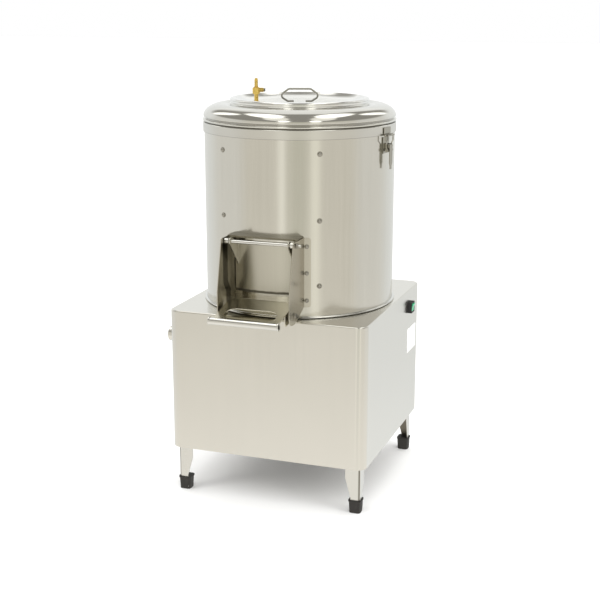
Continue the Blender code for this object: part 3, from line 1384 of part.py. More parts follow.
def latch_lever(name, angle, throw):
    """The spoon lever: a pressed cheek with its two pins, and a tongue that lies on the drum when shut."""
    reach, height = latch_pivot_reach(), latch_pivot_height()
    eye = bail_eye_height()
    near = reach + LATCH_TONGUE_OUT
    far = near + LATCH_LEVER_SHEET
    tip = height + LATCH_LEVER_TOP - LATCH_LEVER_LENGTH
    wide, thin = LATCH_LEVER_HALF, LATCH_LEVER_TOE_HALF
    waist = tip + LATCH_LEVER_TOE
    plan = rounded([
        (-wide, height + LATCH_LEVER_TOP, LATCH_LEVER_SHEET), (-wide, waist + LATCH_LEVER_TOE, 0),
        (-thin, waist, 0), (-thin, tip, LATCH_LEVER_SHEET), (thin, tip, LATCH_LEVER_SHEET), (thin, waist, 0),
        (wide, waist + LATCH_LEVER_TOE, 0), (wide, height + LATCH_LEVER_TOP, LATCH_LEVER_SHEET),
    ], 2)
    tongue = prism([(z, x) for x, z in plan], -far, -near, "Y")
    lever = piece(name, moved(tongue, about_z(angle)), "polished_steel", throw)
    cheek = [(-near - LATCH_LEVER_SHEET / 2, height + LATCH_CHEEK),
             (LATCH_CHEEK_BACK - reach, height + LATCH_CHEEK),
             (LATCH_CHEEK_BACK - reach, eye - LATCH_CHEEK),
             (-near - LATCH_LEVER_SHEET / 2, eye - LATCH_CHEEK)]
    core = prism(cheek, -wide + LATCH_LEVER_SHEET / 2, wide - LATCH_LEVER_SHEET / 2, "X")
    pin = LATCH_EAR_PLACE + LATCH_EAR_SHEET + GAP
    eyes = BAIL_NECK_HALF + BAIL_WIRE
    upper_pin = rod(LATCH_PIN, -pin, pin, "X", (-reach, height), BOLT_STEPS)
    lower_pin = rod(LATCH_PIN, -eyes, eyes, "X", (-reach, eye), BOLT_STEPS)
    shape(lever, moved(core, about_z(angle)), "UNION", "cheek")
    shape(lever, moved(upper_pin, about_z(angle)), "UNION", "upper_pin")
    return shape(lever, moved(lower_pin, about_z(angle)), "UNION", "lower_pin")


def latch_bail(name, angle, swing):
    """The bent wire from the lever's lower pin up to the strike's hook."""
    reach = latch_pivot_reach()
    eye, bar = bail_eye_height(), bail_bar_height()
    jog = eye + BAIL_JOG_RISE
    wide, neck = BAIL_HALF, BAIL_NECK_HALF
    half_route = [(neck, eye, 0), (neck, jog, BAIL_BEND), (wide, jog + BAIL_JOG_HEIGHT, BAIL_BEND),
                  (wide, bar, BAIL_BEND)]
    route = rounded(half_route + [(-x, z, radius) for x, z, radius in reversed(half_route)], 2)
    wire = wire_loft([Vector((x, -reach, z)) for x, z in route], BAIL_WIRE, Vector((0, 1, 0)))
    bail = piece(name, moved(wire, about_z(angle)), "polished_steel", swing)
    half = BAIL_WIRE * BAIL_EYE_SHARE
    eyes = [rod(BAIL_EYE, side * neck - half, side * neck + half, "X", (-reach, eye),
                BOLT_STEPS) for side in (-1, 1)]
    shape(bail, moved(merged(*eyes), about_z(angle)), "UNION", "eyes")
    hole = rod(clear_hole(LATCH_PIN), -wide, wide, "X", (-reach, eye), BOLT_STEPS)
    return shape(bail, moved(hole, about_z(angle)), "DIFFERENCE", "holes")


def wire_loft(spine, radius, across):
    """A round wire along a flat route, open at both ends. The route's plane is square to a vector."""
    rings = []
    for index, here in enumerate(spine):
        before = spine[max(index - 1, 0)]
        after = spine[min(index + 1, len(spine) - 1)]
        back = (here - before).normalized()
        ahead = (after - here).normalized()
        along = (back + ahead).normalized()
        stretch = 1 / math.sqrt((1 + back.dot(ahead)) / 2) if back.length and ahead.length else 1
        side = along.cross(across).normalized() * stretch
        rings.append([here + (side * x + across * y) for x, y in circle(radius, WIRE_STEPS)])
    return loft(rings)


# Peeling disc, shaft and bearings

def disc_bottom():
    """The underside of the peeling disc."""
    return CABINET_TOP + DISC_BOTTOM_RISE


def disc_hub_top():
    """The top of the disc's hub, where the nut sits."""
    return disc_bottom() + DISC_HUB_HEIGHT


def peeling_disc(spindle):
    """The waved abrasive disc, with a hub on top and two blades underneath that sweep the peelings out."""
    low = disc_bottom()
    face = low + DISC_SHEET
    bore = clear_hole(SHAFT_SPIGOT, DISC_STEPS)
    middle = (DISC_RADIUS + DISC_HUB_RADIUS) / 2
    section = [
        (bore, low, 0), (DISC_RADIUS, low, 0), (DISC_RADIUS, face, 0),
        (DISC_RADIUS - DISC_RIM_WIDTH, face, 1 / 4),
        (middle + DISC_HUB_RADIUS, face, 1), (middle - DISC_HUB_RADIUS, face, 2 / 3),
        (DISC_HUB_RADIUS, face, 0),
        (DISC_HUB_RADIUS - DISC_RIM_WIDTH / 2, disc_hub_top(), 0), (bore, disc_hub_top(), 0),
    ]
    turns = [2 * math.pi * step / DISC_STEPS for step in range(DISC_STEPS)]
    rings = []
    for radius, height, wave_share in section:
        rings.append([(radius * math.cos(turn), radius * math.sin(turn),
                       height + wave_share * DISC_WAVE * (1 + math.cos(DISC_WAVES * turn)) / 2) for turn in turns])
    disc = piece("peeling_disc", loft(rings, closed=True), "abrasive", spindle)
    half = DISC_BLADE_SHEET / 2
    blades = [moved(box((DISC_BLADE_START, -half, low - DISC_BLADE_HEIGHT),
                        (DISC_BLADE_END, half, low + DISC_SHEET / 2)),
                    about_z(2 * math.pi * index / DISC_BLADES)) for index in range(DISC_BLADES)]
    return shape(disc, merged(*blades), "UNION", "blades")


def disc_nut(spindle):
    """The nut that holds the disc on its shaft."""
    low = disc_hub_top() + GAP
    return piece("disc_nut", nut(NUT_RADIUS, clear_hole(SHAFT_SPIGOT, NUT_STEPS), low, low + NUT_HEIGHT,
                                 "Z", (0, 0)),
                 "polished_steel", spindle)


def drive_shaft(spindle):
    """The stepped shaft: pulley below, two bearings, and the disc on the thinner top end."""
    shoulder = disc_bottom() - GAP
    top = disc_hub_top() + NUT_HEIGHT + SHAFT_SPIGOT / 2
    profile = [
        (0, top), (SHAFT_SPIGOT * 3 / 4, top), (SHAFT_SPIGOT, top - SHAFT_SPIGOT / 4),
        (SHAFT_SPIGOT, shoulder),
        (SHAFT_RADIUS, shoulder), (SHAFT_RADIUS, SHAFT_BOTTOM), (0, SHAFT_BOTTOM),
    ]
    return piece("drive_shaft", turned(profile, CORE_STEPS), "polished_steel", spindle)


def bearing_heights():
    """The lowest height of the upper bearing and of the lower one."""
    upper = CABINET_TOP - UPPER_BEARING_DROP - BEARING_WIDTH
    return upper, HOUSING_BOTTOM + GAP


def bearing_housing(base):
    """The flanged casting under the cabinet's top that holds both bearings and the seal."""
    pocket = BEARING_RADIUS + GAP
    upper, lower = bearing_heights()
    flange = CABINET_FLOOR - GAP
    neck = CABINET_TOP + HOUSING_NECK_RISE
    shelf_low = lower + BEARING_WIDTH + GAP
    shelf_high = upper - GAP
    profile = [
        (pocket, neck), (HOUSING_RADIUS, neck), (HOUSING_RADIUS, flange), (HOUSING_FLANGE, flange),
        (HOUSING_FLANGE, flange - HOUSING_FLANGE_SHEET), (HOUSING_RADIUS, flange - HOUSING_FLANGE_SHEET),
        (HOUSING_RADIUS, HOUSING_BOTTOM), (pocket, HOUSING_BOTTOM), (pocket, shelf_low),
        (HOUSING_SHOULDER, shelf_low), (HOUSING_SHOULDER, shelf_high), (pocket, shelf_high),
    ]
    return piece("bearing_housing", turned(profile, CORE_STEPS), "cast_iron", base)


def bearing(name, low, groove_side, base):
    """A ball bearing, with the groove between its rings on the face that shows."""
    high = low + BEARING_WIDTH
    bore = clear_hole(SHAFT_RADIUS, CORE_STEPS)
    face, back = (high, low) if groove_side > 0 else (low, high)
    sunk_face = face - groove_side * BEARING_GROOVE
    near, far = bore + BEARING_RACE, BEARING_RADIUS - BEARING_RACE / 2
    profile = [(bore, back), (BEARING_RADIUS, back), (BEARING_RADIUS, face), (far, face), (far, sunk_face),
               (near, sunk_face), (near, face), (bore, face)]
    return piece(name, turned(profile, CORE_STEPS), "polished_steel", base)


def shaft_seal(base):
    """The lip seal on top of the upper bearing, which keeps water out of it."""
    low = bearing_heights()[0] + BEARING_WIDTH + GAP
    high = low + SEAL_HEIGHT
    bore = clear_hole(SHAFT_RADIUS, CORE_STEPS)
    profile = [(bore, low), (BEARING_RADIUS, low), (BEARING_RADIUS, high), (bore + SEAL_LIP, high),
               (bore + SEAL_LIP, high - SEAL_LIP), (bore, high - SEAL_LIP / 2)]
    return piece("shaft_seal", turned(profile, CORE_STEPS), "rubber", base)


# Belt drive and motor

def groove(radius):
    """The V groove in a pulley's rim, from its upper lip to its lower one, as (radius, height)."""
    middle = PULLEY_BOTTOM + PULLEY_HEIGHT / 2
    foot = radius - GROOVE_DEPTH
    return [(radius, middle + GROOVE_TOP / 2), (foot, middle + GROOVE_FOOT / 2),
            (foot, middle - GROOVE_FOOT / 2), (radius, middle - GROOVE_TOP / 2)]


def driven_pulley(spindle):
    """The large pulley on the drive shaft: grooved rim, thin web and hub."""
    low, high = PULLEY_BOTTOM, PULLEY_BOTTOM + PULLEY_HEIGHT
    middle = (low + high) / 2
    inside = PULLEY_RADIUS - GROOVE_DEPTH - PULLEY_RIM
    bore = clear_hole(SHAFT_RADIUS, CORE_STEPS)
    half = PULLEY_WEB / 2
    profile = [(inside, high), (PULLEY_RADIUS, high)] + groove(PULLEY_RADIUS) + [
        (PULLEY_RADIUS, low), (inside, low), (inside, middle - half), (PULLEY_HUB, middle - half),
        (PULLEY_HUB, low), (bore, low), (bore, high), (PULLEY_HUB, high), (PULLEY_HUB, middle + half),
        (inside, middle + half),
    ]
    return piece("driven_pulley", turned(profile, DRIVE_STEPS), "cast_iron", spindle)


def motor_pulley(armature):
    """The small pulley on the motor's shaft."""
    low, high = PULLEY_BOTTOM, PULLEY_BOTTOM + PULLEY_HEIGHT
    bore = clear_hole(MOTOR_SHAFT, CORE_STEPS)
    profile = [(bore, high), (MOTOR_PULLEY_RADIUS, high)] + groove(MOTOR_PULLEY_RADIUS) + [
        (MOTOR_PULLEY_RADIUS, low), (bore, low)]
    return piece("motor_pulley", turned(profile, CORE_STEPS, "Z", (0, MOTOR_PLACE)), "cast_iron", armature)


def motor_shaft(armature):
    """The motor's output shaft."""
    top = MOTOR_BOTTOM + MOTOR_SHAFT_DEPTH - GAP
    return piece("motor_shaft", rod(MOTOR_SHAFT, MOTOR_SHAFT_BOTTOM, top, "Z", (0, MOTOR_PLACE), CORE_STEPS),
                 "polished_steel", armature)


def v_belt(base):
    """The endless belt round both pulleys, a wedge in section."""
    middle = PULLEY_BOTTOM + PULLEY_HEIGHT / 2
    slope = (GROOVE_TOP - GROOVE_FOOT) / GROOVE_DEPTH
    top_half = (GROOVE_TOP - slope * BELT_SINK) / 2 - BELT_ROOM
    foot_half = top_half - slope * BELT_HEIGHT / 2
    lean = math.acos((PULLEY_RADIUS - MOTOR_PULLEY_RADIUS) / MOTOR_PLACE)
    ahead = math.pi / 2
    rings = []
    for place, radius, start, end in (
        (0, PULLEY_RADIUS, ahead + lean, ahead + 2 * math.pi - lean),
        (MOTOR_PLACE, MOTOR_PULLEY_RADIUS, ahead - lean, ahead + lean),
    ):
        steps = round((end - start) / BELT_STEP)
        for step in range(steps + 1):
            turn = start + (end - start) * step / steps
            back = radius - BELT_SINK
            ring = []
            for reach, height in ((back, top_half), (back, -top_half), (back - BELT_HEIGHT, -foot_half),
                                  (back - BELT_HEIGHT, foot_half)):
                ring.append((reach * math.cos(turn), place + reach * math.sin(turn), middle + height))
            rings.append(ring)
    return piece("v_belt", loft(rings, closed=True), "rubber", base)


def motor_body(base):
    """The motor's finned frame with its end bells and terminal box. Its shaft comes out below."""
    count = 4 * MOTOR_FINS
    centre = (0, MOTOR_PLACE)
    turns = [2 * math.pi * step / count for step in range(count)]

    def plain(radius, height):
        return [(x, y, height) for x, y in circle(radius, count, centre)]

    def finned(height):
        reach = [MOTOR_RADIUS if step % 4 in (0, 1) else MOTOR_ROOT for step in range(count)]
        return [(r * math.cos(turn), MOTOR_PLACE + r * math.sin(turn), height) for r,
                turn in zip(reach, turns)]

    low, high = MOTOR_BOTTOM, MOTOR_BOTTOM + MOTOR_HEIGHT
    bore = clear_hole(MOTOR_SHAFT, CORE_STEPS)
    rings = [
        plain(bore, low + MOTOR_SHAFT_DEPTH), plain(bore, low), plain(MOTOR_BELL, low),
        plain(MOTOR_BELL, low + MOTOR_BELL_HEIGHT), finned(low + MOTOR_BELL_HEIGHT),
        finned(high - MOTOR_BELL_HEIGHT), plain(MOTOR_BELL, high - MOTOR_BELL_HEIGHT),
        plain(MOTOR_BELL, high),
    ]
    motor = piece("motor_body", loft(rings), "motor_paint", base)
    box_low = low + TERMINAL_BOTTOM
    terminal = box((-TERMINAL_HALF, MOTOR_PLACE + MOTOR_BELL, box_low),
                   (TERMINAL_HALF, MOTOR_PLACE + TERMINAL_REACH, box_low + TERMINAL_HEIGHT))
    return shape(motor, terminal, "UNION", "terminal_box")


def motor_bracket(base):
    """The folded bracket that hangs the motor from the cabinet's top."""
    top = CABINET_FLOOR - GAP
    floor = MOTOR_BOTTOM - GAP
    sheet = BRACKET_SHEET
    half, tab = BRACKET_HALF, BRACKET_HALF + BRACKET_TAB
    right = [(floor - sheet, half), (top - sheet, half), (top - sheet, tab), (top, tab), (top, half - sheet),
             (floor, half - sheet)]
    outline = right + [(z, -x) for z, x in reversed(right)]
    low, high = MOTOR_PLACE - BRACKET_DEPTH / 2, MOTOR_PLACE + BRACKET_DEPTH / 2
    bracket = piece("motor_bracket", prism(outline, low, high, "Y"), "satin_steel", base)
    hole = rod(BRACKET_HOLE, floor - sheet - OVERRUN, floor + OVERRUN, centre=(0, MOTOR_PLACE))
    return shape(bracket, hole, "DIFFERENCE", "shaft_hole")


# Drain, cable gland and switch

def drain_pipe(base):
    """The drain from the drum's floor, bent out through the cabinet's left wall."""
    x, y = DRAIN_PLACE
    bend = (x - DRAIN_BEND, DRAIN_HEIGHT + DRAIN_BEND)
    route = [(x, CABINET_TOP, 0)]
    for step in range(DRAIN_BEND_STEPS + 1):
        turn = math.pi / 2 * step / DRAIN_BEND_STEPS
        route.append((bend[0] + DRAIN_BEND * math.cos(turn), bend[1] - DRAIN_BEND * math.sin(turn), turn))
    route.append((-DRAIN_REACH, DRAIN_HEIGHT, math.pi / 2))

    def skin(radius):
        rings = []
        for across, height, turn in route:
            rings.append([(across + u * math.cos(turn), y + v, height - u * math.sin(turn))
                          for u, v in circle(radius, SHAFT_STEPS)])
        return rings

    outer, inner = skin(DRAIN_RADIUS), skin(DRAIN_RADIUS - DRAIN_SHEET)
    return piece("drain_pipe", loft(outer + inner[::-1], closed=True), "satin_steel", base)


def cable_gland(base):
    """The gland in the rear wall that the supply cable would come through."""
    inside = REAR_FACE - CABINET_SHEET - GAP
    outside = REAR_FACE + GAP
    flange = outside + GLAND_FLANGE
    profile = [
        (GLAND_BORE, inside - GLAND_NUT), (GLAND_RADIUS, inside - GLAND_NUT), (GLAND_RADIUS, inside),
        (GLAND_SHANK, inside), (GLAND_SHANK, outside), (GLAND_RADIUS, outside), (GLAND_RADIUS, flange),
        (GLAND_SHANK + GLAND_BORE / 2, flange), (GLAND_SHANK, flange + GLAND_DOME),
        (GLAND_BORE, flange + GLAND_DOME),
    ]
    return piece("cable_gland", turned(profile, BOLT_STEPS, "Y", (GLAND_HEIGHT, GLAND_PLACE)),
                 "black_plastic", base)


def switch_outline(grow, radius=0):
    """The switch's outline on the right wall, as (y, z)."""
    half, tall = SWITCH_WIDTH / 2 + grow, SWITCH_TALL / 2 + grow
    return rectangle(SWITCH_PLACE - half, SWITCH_HEIGHT - tall, SWITCH_PLACE + half, SWITCH_HEIGHT + tall,
                     radius)


def rocker_pivot():
    """How far out the rocker turns."""
    return SIDE_FACE + SWITCH_PROUD - SWITCH_RECESS + ROCKER_BELLY + ROCKER_ROOM / 2


def switch_bezel(base):
    """The switch's housing: a raised frame outside the wall and a body inside it."""
    near = SIDE_FACE + GAP
    front = SIDE_FACE + SWITCH_PROUD
    bezel = piece("switch_bezel", prism(switch_outline(0, SWITCH_BODY_INSET), near, front, "X"),
                  "black_plastic", base)
    body = prism(switch_outline(-SWITCH_BODY_INSET), SIDE_FACE - SWITCH_BODY_DEPTH,
                 near + SWITCH_BODY_INSET / 2, "X")
    shape(bezel, body, "UNION", "body")
    recess = prism(switch_outline(-SWITCH_WALL), front - SWITCH_RECESS, front + OVERRUN, "X")
    return shape(bezel, recess, "DIFFERENCE", "recess")


def switch_rocker(axle):
    """The green rocker, drawn level and then tipped to its resting side."""
    turn_x = rocker_pivot()
    half = SWITCH_TALL / 2 - SWITCH_WALL - ROCKER_ROOM
    rear, front = -ROCKER_BELLY / 4, ROCKER_BELLY
    belly = arc((0, 0), ROCKER_BELLY, math.pi, 2 * math.pi, 2 * ARC_STEPS)
    belly = [point for point in belly if point[1] < rear]
    outline = [(-half, rear)] + belly + [(half, rear), (half, front), (0, front - ROCKER_DISH),
                                         (-half, front)]
    width = SWITCH_WIDTH / 2 - SWITCH_WALL - ROCKER_ROOM
    level = prism([(SWITCH_HEIGHT + z, turn_x + x) for z, x in outline], SWITCH_PLACE - width,
                  SWITCH_PLACE + width, "Y")
    place = Matrix.Translation((turn_x, 0, SWITCH_HEIGHT))
    tip = place @ Matrix.Rotation(ROCKER_TILT / 2, 4, "Y") @ place.inverted()
    return piece("switch_rocker", moved(level, tip), "green_plastic", axle)


def build_base(base):
    """The pieces that stand still."""
    cabinet_shell(base)
    for end, end_name in ((-1, "front"), (1, "rear")):
        for side, side_name in ((-1, "left"), (1, "right")):
            leg(f"leg_{end_name}_{side_name}", side, end, base)
            foot(f"foot_{end_name}_{side_name}", side, end, base)
    rear_panel(base)
    drum(base)
    abrasive_liner(base)
    for name, angle in STRIP_PLACES.items():
        clamp_strip(name, angle, base)
    for side, side_name in ((-1, "left"), (1, "right")):
        chute_side(f"chute_side_{side_name}", side, base)
        hinge_nut(f"hinge_nut_{side_name}", side, base)
        pivot_bolt(f"pivot_bolt_{side_name}", side, base)
    shelf("chute_hood", HOOD_REACH, HOOD_TOP, HOOD_SHEET, HOOD_LIP_DROP, base)
    shelf("chute_sill", SILL_REACH, SILL_TOP, SILL_SHEET, SILL_LIP_DROP, base)
    hinge_rod(base)
    cover_ring(base)
    bearing_housing(base)
    upper, lower = bearing_heights()
    bearing("upper_bearing", upper, 1, base)
    bearing("lower_bearing", lower, -1, base)
    shaft_seal(base)
    motor_body(base)
    motor_bracket(base)
    v_belt(base)
    drain_pipe(base)
    cable_gland(base)
    switch_bezel(base)


def build_moving(base):
    """The pieces that turn, swing or lift, each on an empty at its joint's axis."""
    spindle = pivot("disc_spin", (0, 0, disc_bottom()), base)
    drive_shaft(spindle)
    peeling_disc(spindle)
    disc_nut(spindle)
    driven_pulley(spindle)
    armature = pivot("motor_spin", (0, MOTOR_PLACE, MOTOR_BOTTOM), base)
    motor_shaft(armature)
    motor_pulley(armature)
    hinge = pivot("door_hinge", (0, -HINGE_REACH, HINGE_HEIGHT), base)
    discharge_door(hinge)
    door_gasket(hinge)
    fulcrum = pivot("lever_pivot", (0, -LEVER_REACH, LEVER_HEIGHT), base)
    lock_lever(fulcrum)
    lever_grip(fulcrum)
    lift = pivot("lid_lift", (0, 0, lid_levels()[0]), base)
    lid(lift)
    lid_handle(lift)
    inlet_valve(lift)
    spray_nozzle(lift)
    middle = lid_levels()[2] + INLET_NIPPLE_HEIGHT + INLET_HEX_HEIGHT / 2
    stem = pivot("flow_screw_turn", (*inlet_place(), middle), lift)
    flow_screw(stem)
    axle = pivot("rocker_tip", (rocker_pivot(), SWITCH_PLACE, SWITCH_HEIGHT), base)
    switch_rocker(axle)
    for side_name, angle in LATCH_ANGLES.items():
        across, along = math.sin(angle), -math.cos(angle)
        reach = latch_pivot_reach()
        strike(f"strike_{side_name}", angle, base)
        latch_base(f"latch_base_{side_name}", angle, base)
        throw = pivot(f"latch_throw_{side_name}", (reach * across, reach * along, latch_pivot_height()), base)
        latch_lever(f"latch_lever_{side_name}", angle, throw)
        swing = pivot(f"bail_swing_{side_name}", (reach * across, reach * along, bail_eye_height()), throw)
        latch_bail(f"latch_bail_{side_name}", angle, swing)


# Putting the machine together

def build():
    """Makes every piece and stands the machine's box on the origin by the middle of its foot."""
    for leftover in list(bpy.data.objects):
        bpy.data.objects.remove(leftover, do_unlink=True)
    base = pivot("machine", (0, 0, 0), None)
    build_base(base)
    build_moving(base)
    stand_on_origin(base)


def stand_on_origin(base):
    """Moves the whole machine so that the bottom centre of its box is the origin."""
    bpy.context.view_layer.update()
    graph = bpy.context.evaluated_depsgraph_get()
    low = Vector((math.inf,) * 3)
    high = -low
    for thing in bpy.data.objects:
        if thing.type != "MESH" or thing.hide_render:
            continue
        seen = thing.evaluated_get(graph)
        for corner in seen.bound_box:
            place = seen.matrix_world @ Vector(corner)
            low = Vector(map(min, low, place))
            high = Vector(map(max, high, place))
    middle = (low + high) / 2
    base.location = (-middle.x, -middle.y, -low.z)


if __name__ == "__main__":
    build()
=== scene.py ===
"""Dressed model of a floor-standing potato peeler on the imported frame: finer sheets, steel finishes and a studio.

Every length is in metres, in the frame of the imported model: +Z up, the discharge door to the front on -Y.
"""
import json
import logging
import math
from dataclasses import dataclass, field
from enum import Enum
from typing import Any, Iterable, Sequence

import bmesh
import bpy
from mathutils import Matrix, Vector

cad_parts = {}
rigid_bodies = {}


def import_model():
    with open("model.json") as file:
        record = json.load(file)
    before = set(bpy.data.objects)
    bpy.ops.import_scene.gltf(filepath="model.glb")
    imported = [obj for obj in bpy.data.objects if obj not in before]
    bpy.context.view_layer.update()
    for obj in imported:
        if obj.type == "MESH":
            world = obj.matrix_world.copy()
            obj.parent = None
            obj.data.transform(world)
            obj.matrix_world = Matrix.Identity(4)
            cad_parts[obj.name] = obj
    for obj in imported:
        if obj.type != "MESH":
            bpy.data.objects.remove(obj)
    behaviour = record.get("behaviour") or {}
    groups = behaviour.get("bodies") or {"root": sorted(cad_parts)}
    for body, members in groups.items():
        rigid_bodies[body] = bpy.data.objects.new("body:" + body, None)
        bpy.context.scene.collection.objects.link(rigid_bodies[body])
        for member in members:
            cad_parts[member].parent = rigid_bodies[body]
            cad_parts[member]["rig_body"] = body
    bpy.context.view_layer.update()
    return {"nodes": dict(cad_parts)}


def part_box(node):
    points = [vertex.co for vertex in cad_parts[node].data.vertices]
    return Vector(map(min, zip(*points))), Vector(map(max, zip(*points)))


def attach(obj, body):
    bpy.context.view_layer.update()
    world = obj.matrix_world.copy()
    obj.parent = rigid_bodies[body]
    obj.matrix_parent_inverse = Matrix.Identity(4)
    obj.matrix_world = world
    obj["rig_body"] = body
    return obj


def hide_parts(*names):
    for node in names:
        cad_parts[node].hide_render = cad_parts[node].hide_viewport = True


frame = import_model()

REPORT = logging.getLogger("peeler")
WELD = 0.000002  # how near to each other two points are merged
SAME_PLANE = math.radians(0.4)  # the turn below which two faces count as one
CREASE = math.radians(38.0)  # the turn above which an edge is rounded
GAP = 0.0003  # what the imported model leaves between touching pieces
FINE_EDGE = 0.0004  # how far the edges of small and thin pieces are rounded
SHEET_EDGE = 0.0005  # how far those of the thicker sheets and their bolts are rounded
VIEWPORT_GREY = (0.6, 0.6, 0.6, 1.0)
ENDS = ("front", "rear")
SIDES = ("left", "right")
Point = Sequence[float]


class Grain(Enum):
    """The way that the brushing of a sheet runs."""

    UP = (900.0, 900.0, 7.0)
    ACROSS = (7.0, 900.0, 900.0)


class Turn(Enum):
    """The axis that a turned piece is turned about, as the matrix that brings Z onto it."""

    X = ((0, 0, 1), (1, 0, 0), (0, 1, 0))
    Y = ((0, 1, 0), (0, 0, 1), (1, 0, 0))
    Z = ((1, 0, 0), (0, 1, 0), (0, 0, 1))


# Shader sockets and nodes


class Wire:
    """One output socket, whose arithmetic adds Math nodes."""

    def __init__(self, bench: "Bench", socket: bpy.types.NodeSocket) -> None:
        """Keeps the socket and the bench that its nodes are added on."""
        self.bench = bench
        self.socket = socket

    def math(self, operation: str, *others: Any, swapped: bool = False, clamp: bool = False) -> "Wire":
        """Adds one Math node.

        Args:
            operation: the node's operation.
            others: its further operands, wires or numbers.
            swapped: True puts this wire behind the others.
            clamp: True keeps the result between 0 and 1.

        Returns:
            The node's result.
        """
        values = [*others, self] if swapped else [self, *others]
        return self.bench.add("ShaderNodeMath", {"operation": operation, "use_clamp": clamp},
                              dict(enumerate(values)))

    def __add__(self, other: Any) -> "Wire":
        """This plus other."""
        return self.math("ADD", other)

    def __radd__(self, other: Any) -> "Wire":
        """Other plus this."""
        return self.math("ADD", other, swapped=True)

    def __sub__(self, other: Any) -> "Wire":
        """This minus other."""
        return self.math("SUBTRACT", other)

    def __rsub__(self, other: Any) -> "Wire":
        """Other minus this."""
        return self.math("SUBTRACT", other, swapped=True)

    def __mul__(self, other: Any) -> "Wire":
        """This times other."""
        return self.math("MULTIPLY", other)

    def __rmul__(self, other: Any) -> "Wire":
        """Other times this."""
        return self.math("MULTIPLY", other, swapped=True)

    def __truediv__(self, other: Any) -> "Wire":
        """This divided by other."""
        return self.math("DIVIDE", other)

    def __rtruediv__(self, other: Any) -> "Wire":
        """Other divided by this."""
        return self.math("DIVIDE", other, swapped=True)

    def __gt__(self, other: Any) -> "Wire":
        """1 where this is above other, else 0."""
        return self.math("GREATER_THAN", other)

    def __abs__(self) -> "Wire":
        """This without its sign."""
        return self.math("ABSOLUTE")

    def clamped(self) -> "Wire":
        """This kept between 0 and 1."""
        return self.math("ADD", 0.0, clamp=True)

    def smooth(self, low: float, high: float, start: float = 0.0, end: float = 1.0) -> "Wire":
        """A soft step.

        Args:
            low: the value at which the step begins.
            high: the value at which it ends.
            start: the result below the step.
            end: the result above it.

        Returns:
            The stepped value.
        """
        return self.bench.add("ShaderNodeMapRange", {"interpolation_type": "SMOOTHSTEP"},
                              {"Value": self, "From Min": low, "From Max": high, "To Min": start, "To Max": end})


class Bench:
    """A node tree under construction."""

    def __init__(self, tree: bpy.types.NodeTree) -> None:
        """Empties the tree and keeps it."""
        self.tree = tree
        tree.nodes.clear()

    @staticmethod
    def socket(sockets: Any, key: Any) -> bpy.types.NodeSocket:
        """Finds a socket.

        Args:
            sockets: a node's inputs or outputs.
            key: a place in the row, an identifier or a name.

        Returns:
            The socket.
        """
        if isinstance(key, int):
            return sockets[key]
        return next((one for one in sockets if one.identifier == key), None) or sockets[key]

    def add(self, kind: str, settings: dict[str, Any] | None = None, inputs: dict[Any, Any] | None = None,
            out: Any = 0) -> Wire:
        """Adds any node.

        Args:
            kind: the node's type.
            settings: its settings.
            inputs: a value or a wire for each socket that is set.
            out: the output that is handed on.

        Returns:
            The wire from that output.
        """
        node = self.tree.nodes.new(kind)
        for name, value in (settings or {}).items():
            setattr(node, name, value)
        for key, value in (inputs or {}).items():
            target = self.socket(node.inputs, key)
            if isinstance(value, Wire):
                self.tree.links.new(value.socket, target)
            else:
                target.default_value = value
        outputs = node.outputs
        return Wire(self, self.socket(outputs, out) if len(outputs) else None)

    def mix(self, share: Any, first: Any, second: Any) -> Wire:
        """Mixes two colours by a share of the second."""
        return self.add("ShaderNodeMix", {"data_type": "RGBA"},
                        {"Factor_Float": share, "A_Color": self.paint(first), "B_Color": self.paint(second)},
                        "Result_Color")

    @staticmethod
    def paint(colour: Any) -> Any:
        """A colour with its alpha, or the wire as it is."""
        return colour if isinstance(colour, Wire) else (*colour[:3], 1.0)

    def place(self) -> Wire:
        """The point's place on the piece."""
        return self.add("ShaderNodeTexCoord", out="Object")

    def scaled(self, scale: Point) -> Wire:
        """The point's place, stretched along each axis."""
        return self.add("ShaderNodeVectorMath", {"operation": "MULTIPLY"}, {0: self.place(), 1: tuple(scale)})

    def noise(self, scale: Point, detail: float = 3.0, rough: float = 0.5) -> Wire:
        """Noise with its own fineness along each axis."""
        return self.add("ShaderNodeTexNoise", {"normalize": True},
                        {"Vector": self.scaled(scale), "Scale": 1.0, "Detail": detail, "Roughness": rough})

    def axis(self, name: str, source: Wire | None = None) -> Wire:
        """One coordinate, X, Y or Z, of the place or of another vector."""
        return self.add("ShaderNodeSeparateXYZ", inputs={0: source or self.place()}, out=name)

    def bump(self, height: Wire, depth: float, strength: float = 1.0) -> Wire:
        """A relief of this height, depth metres deep."""
        return self.add("ShaderNodeBump", inputs={"Height": height, "Distance": depth, "Strength": strength})


# Finishes


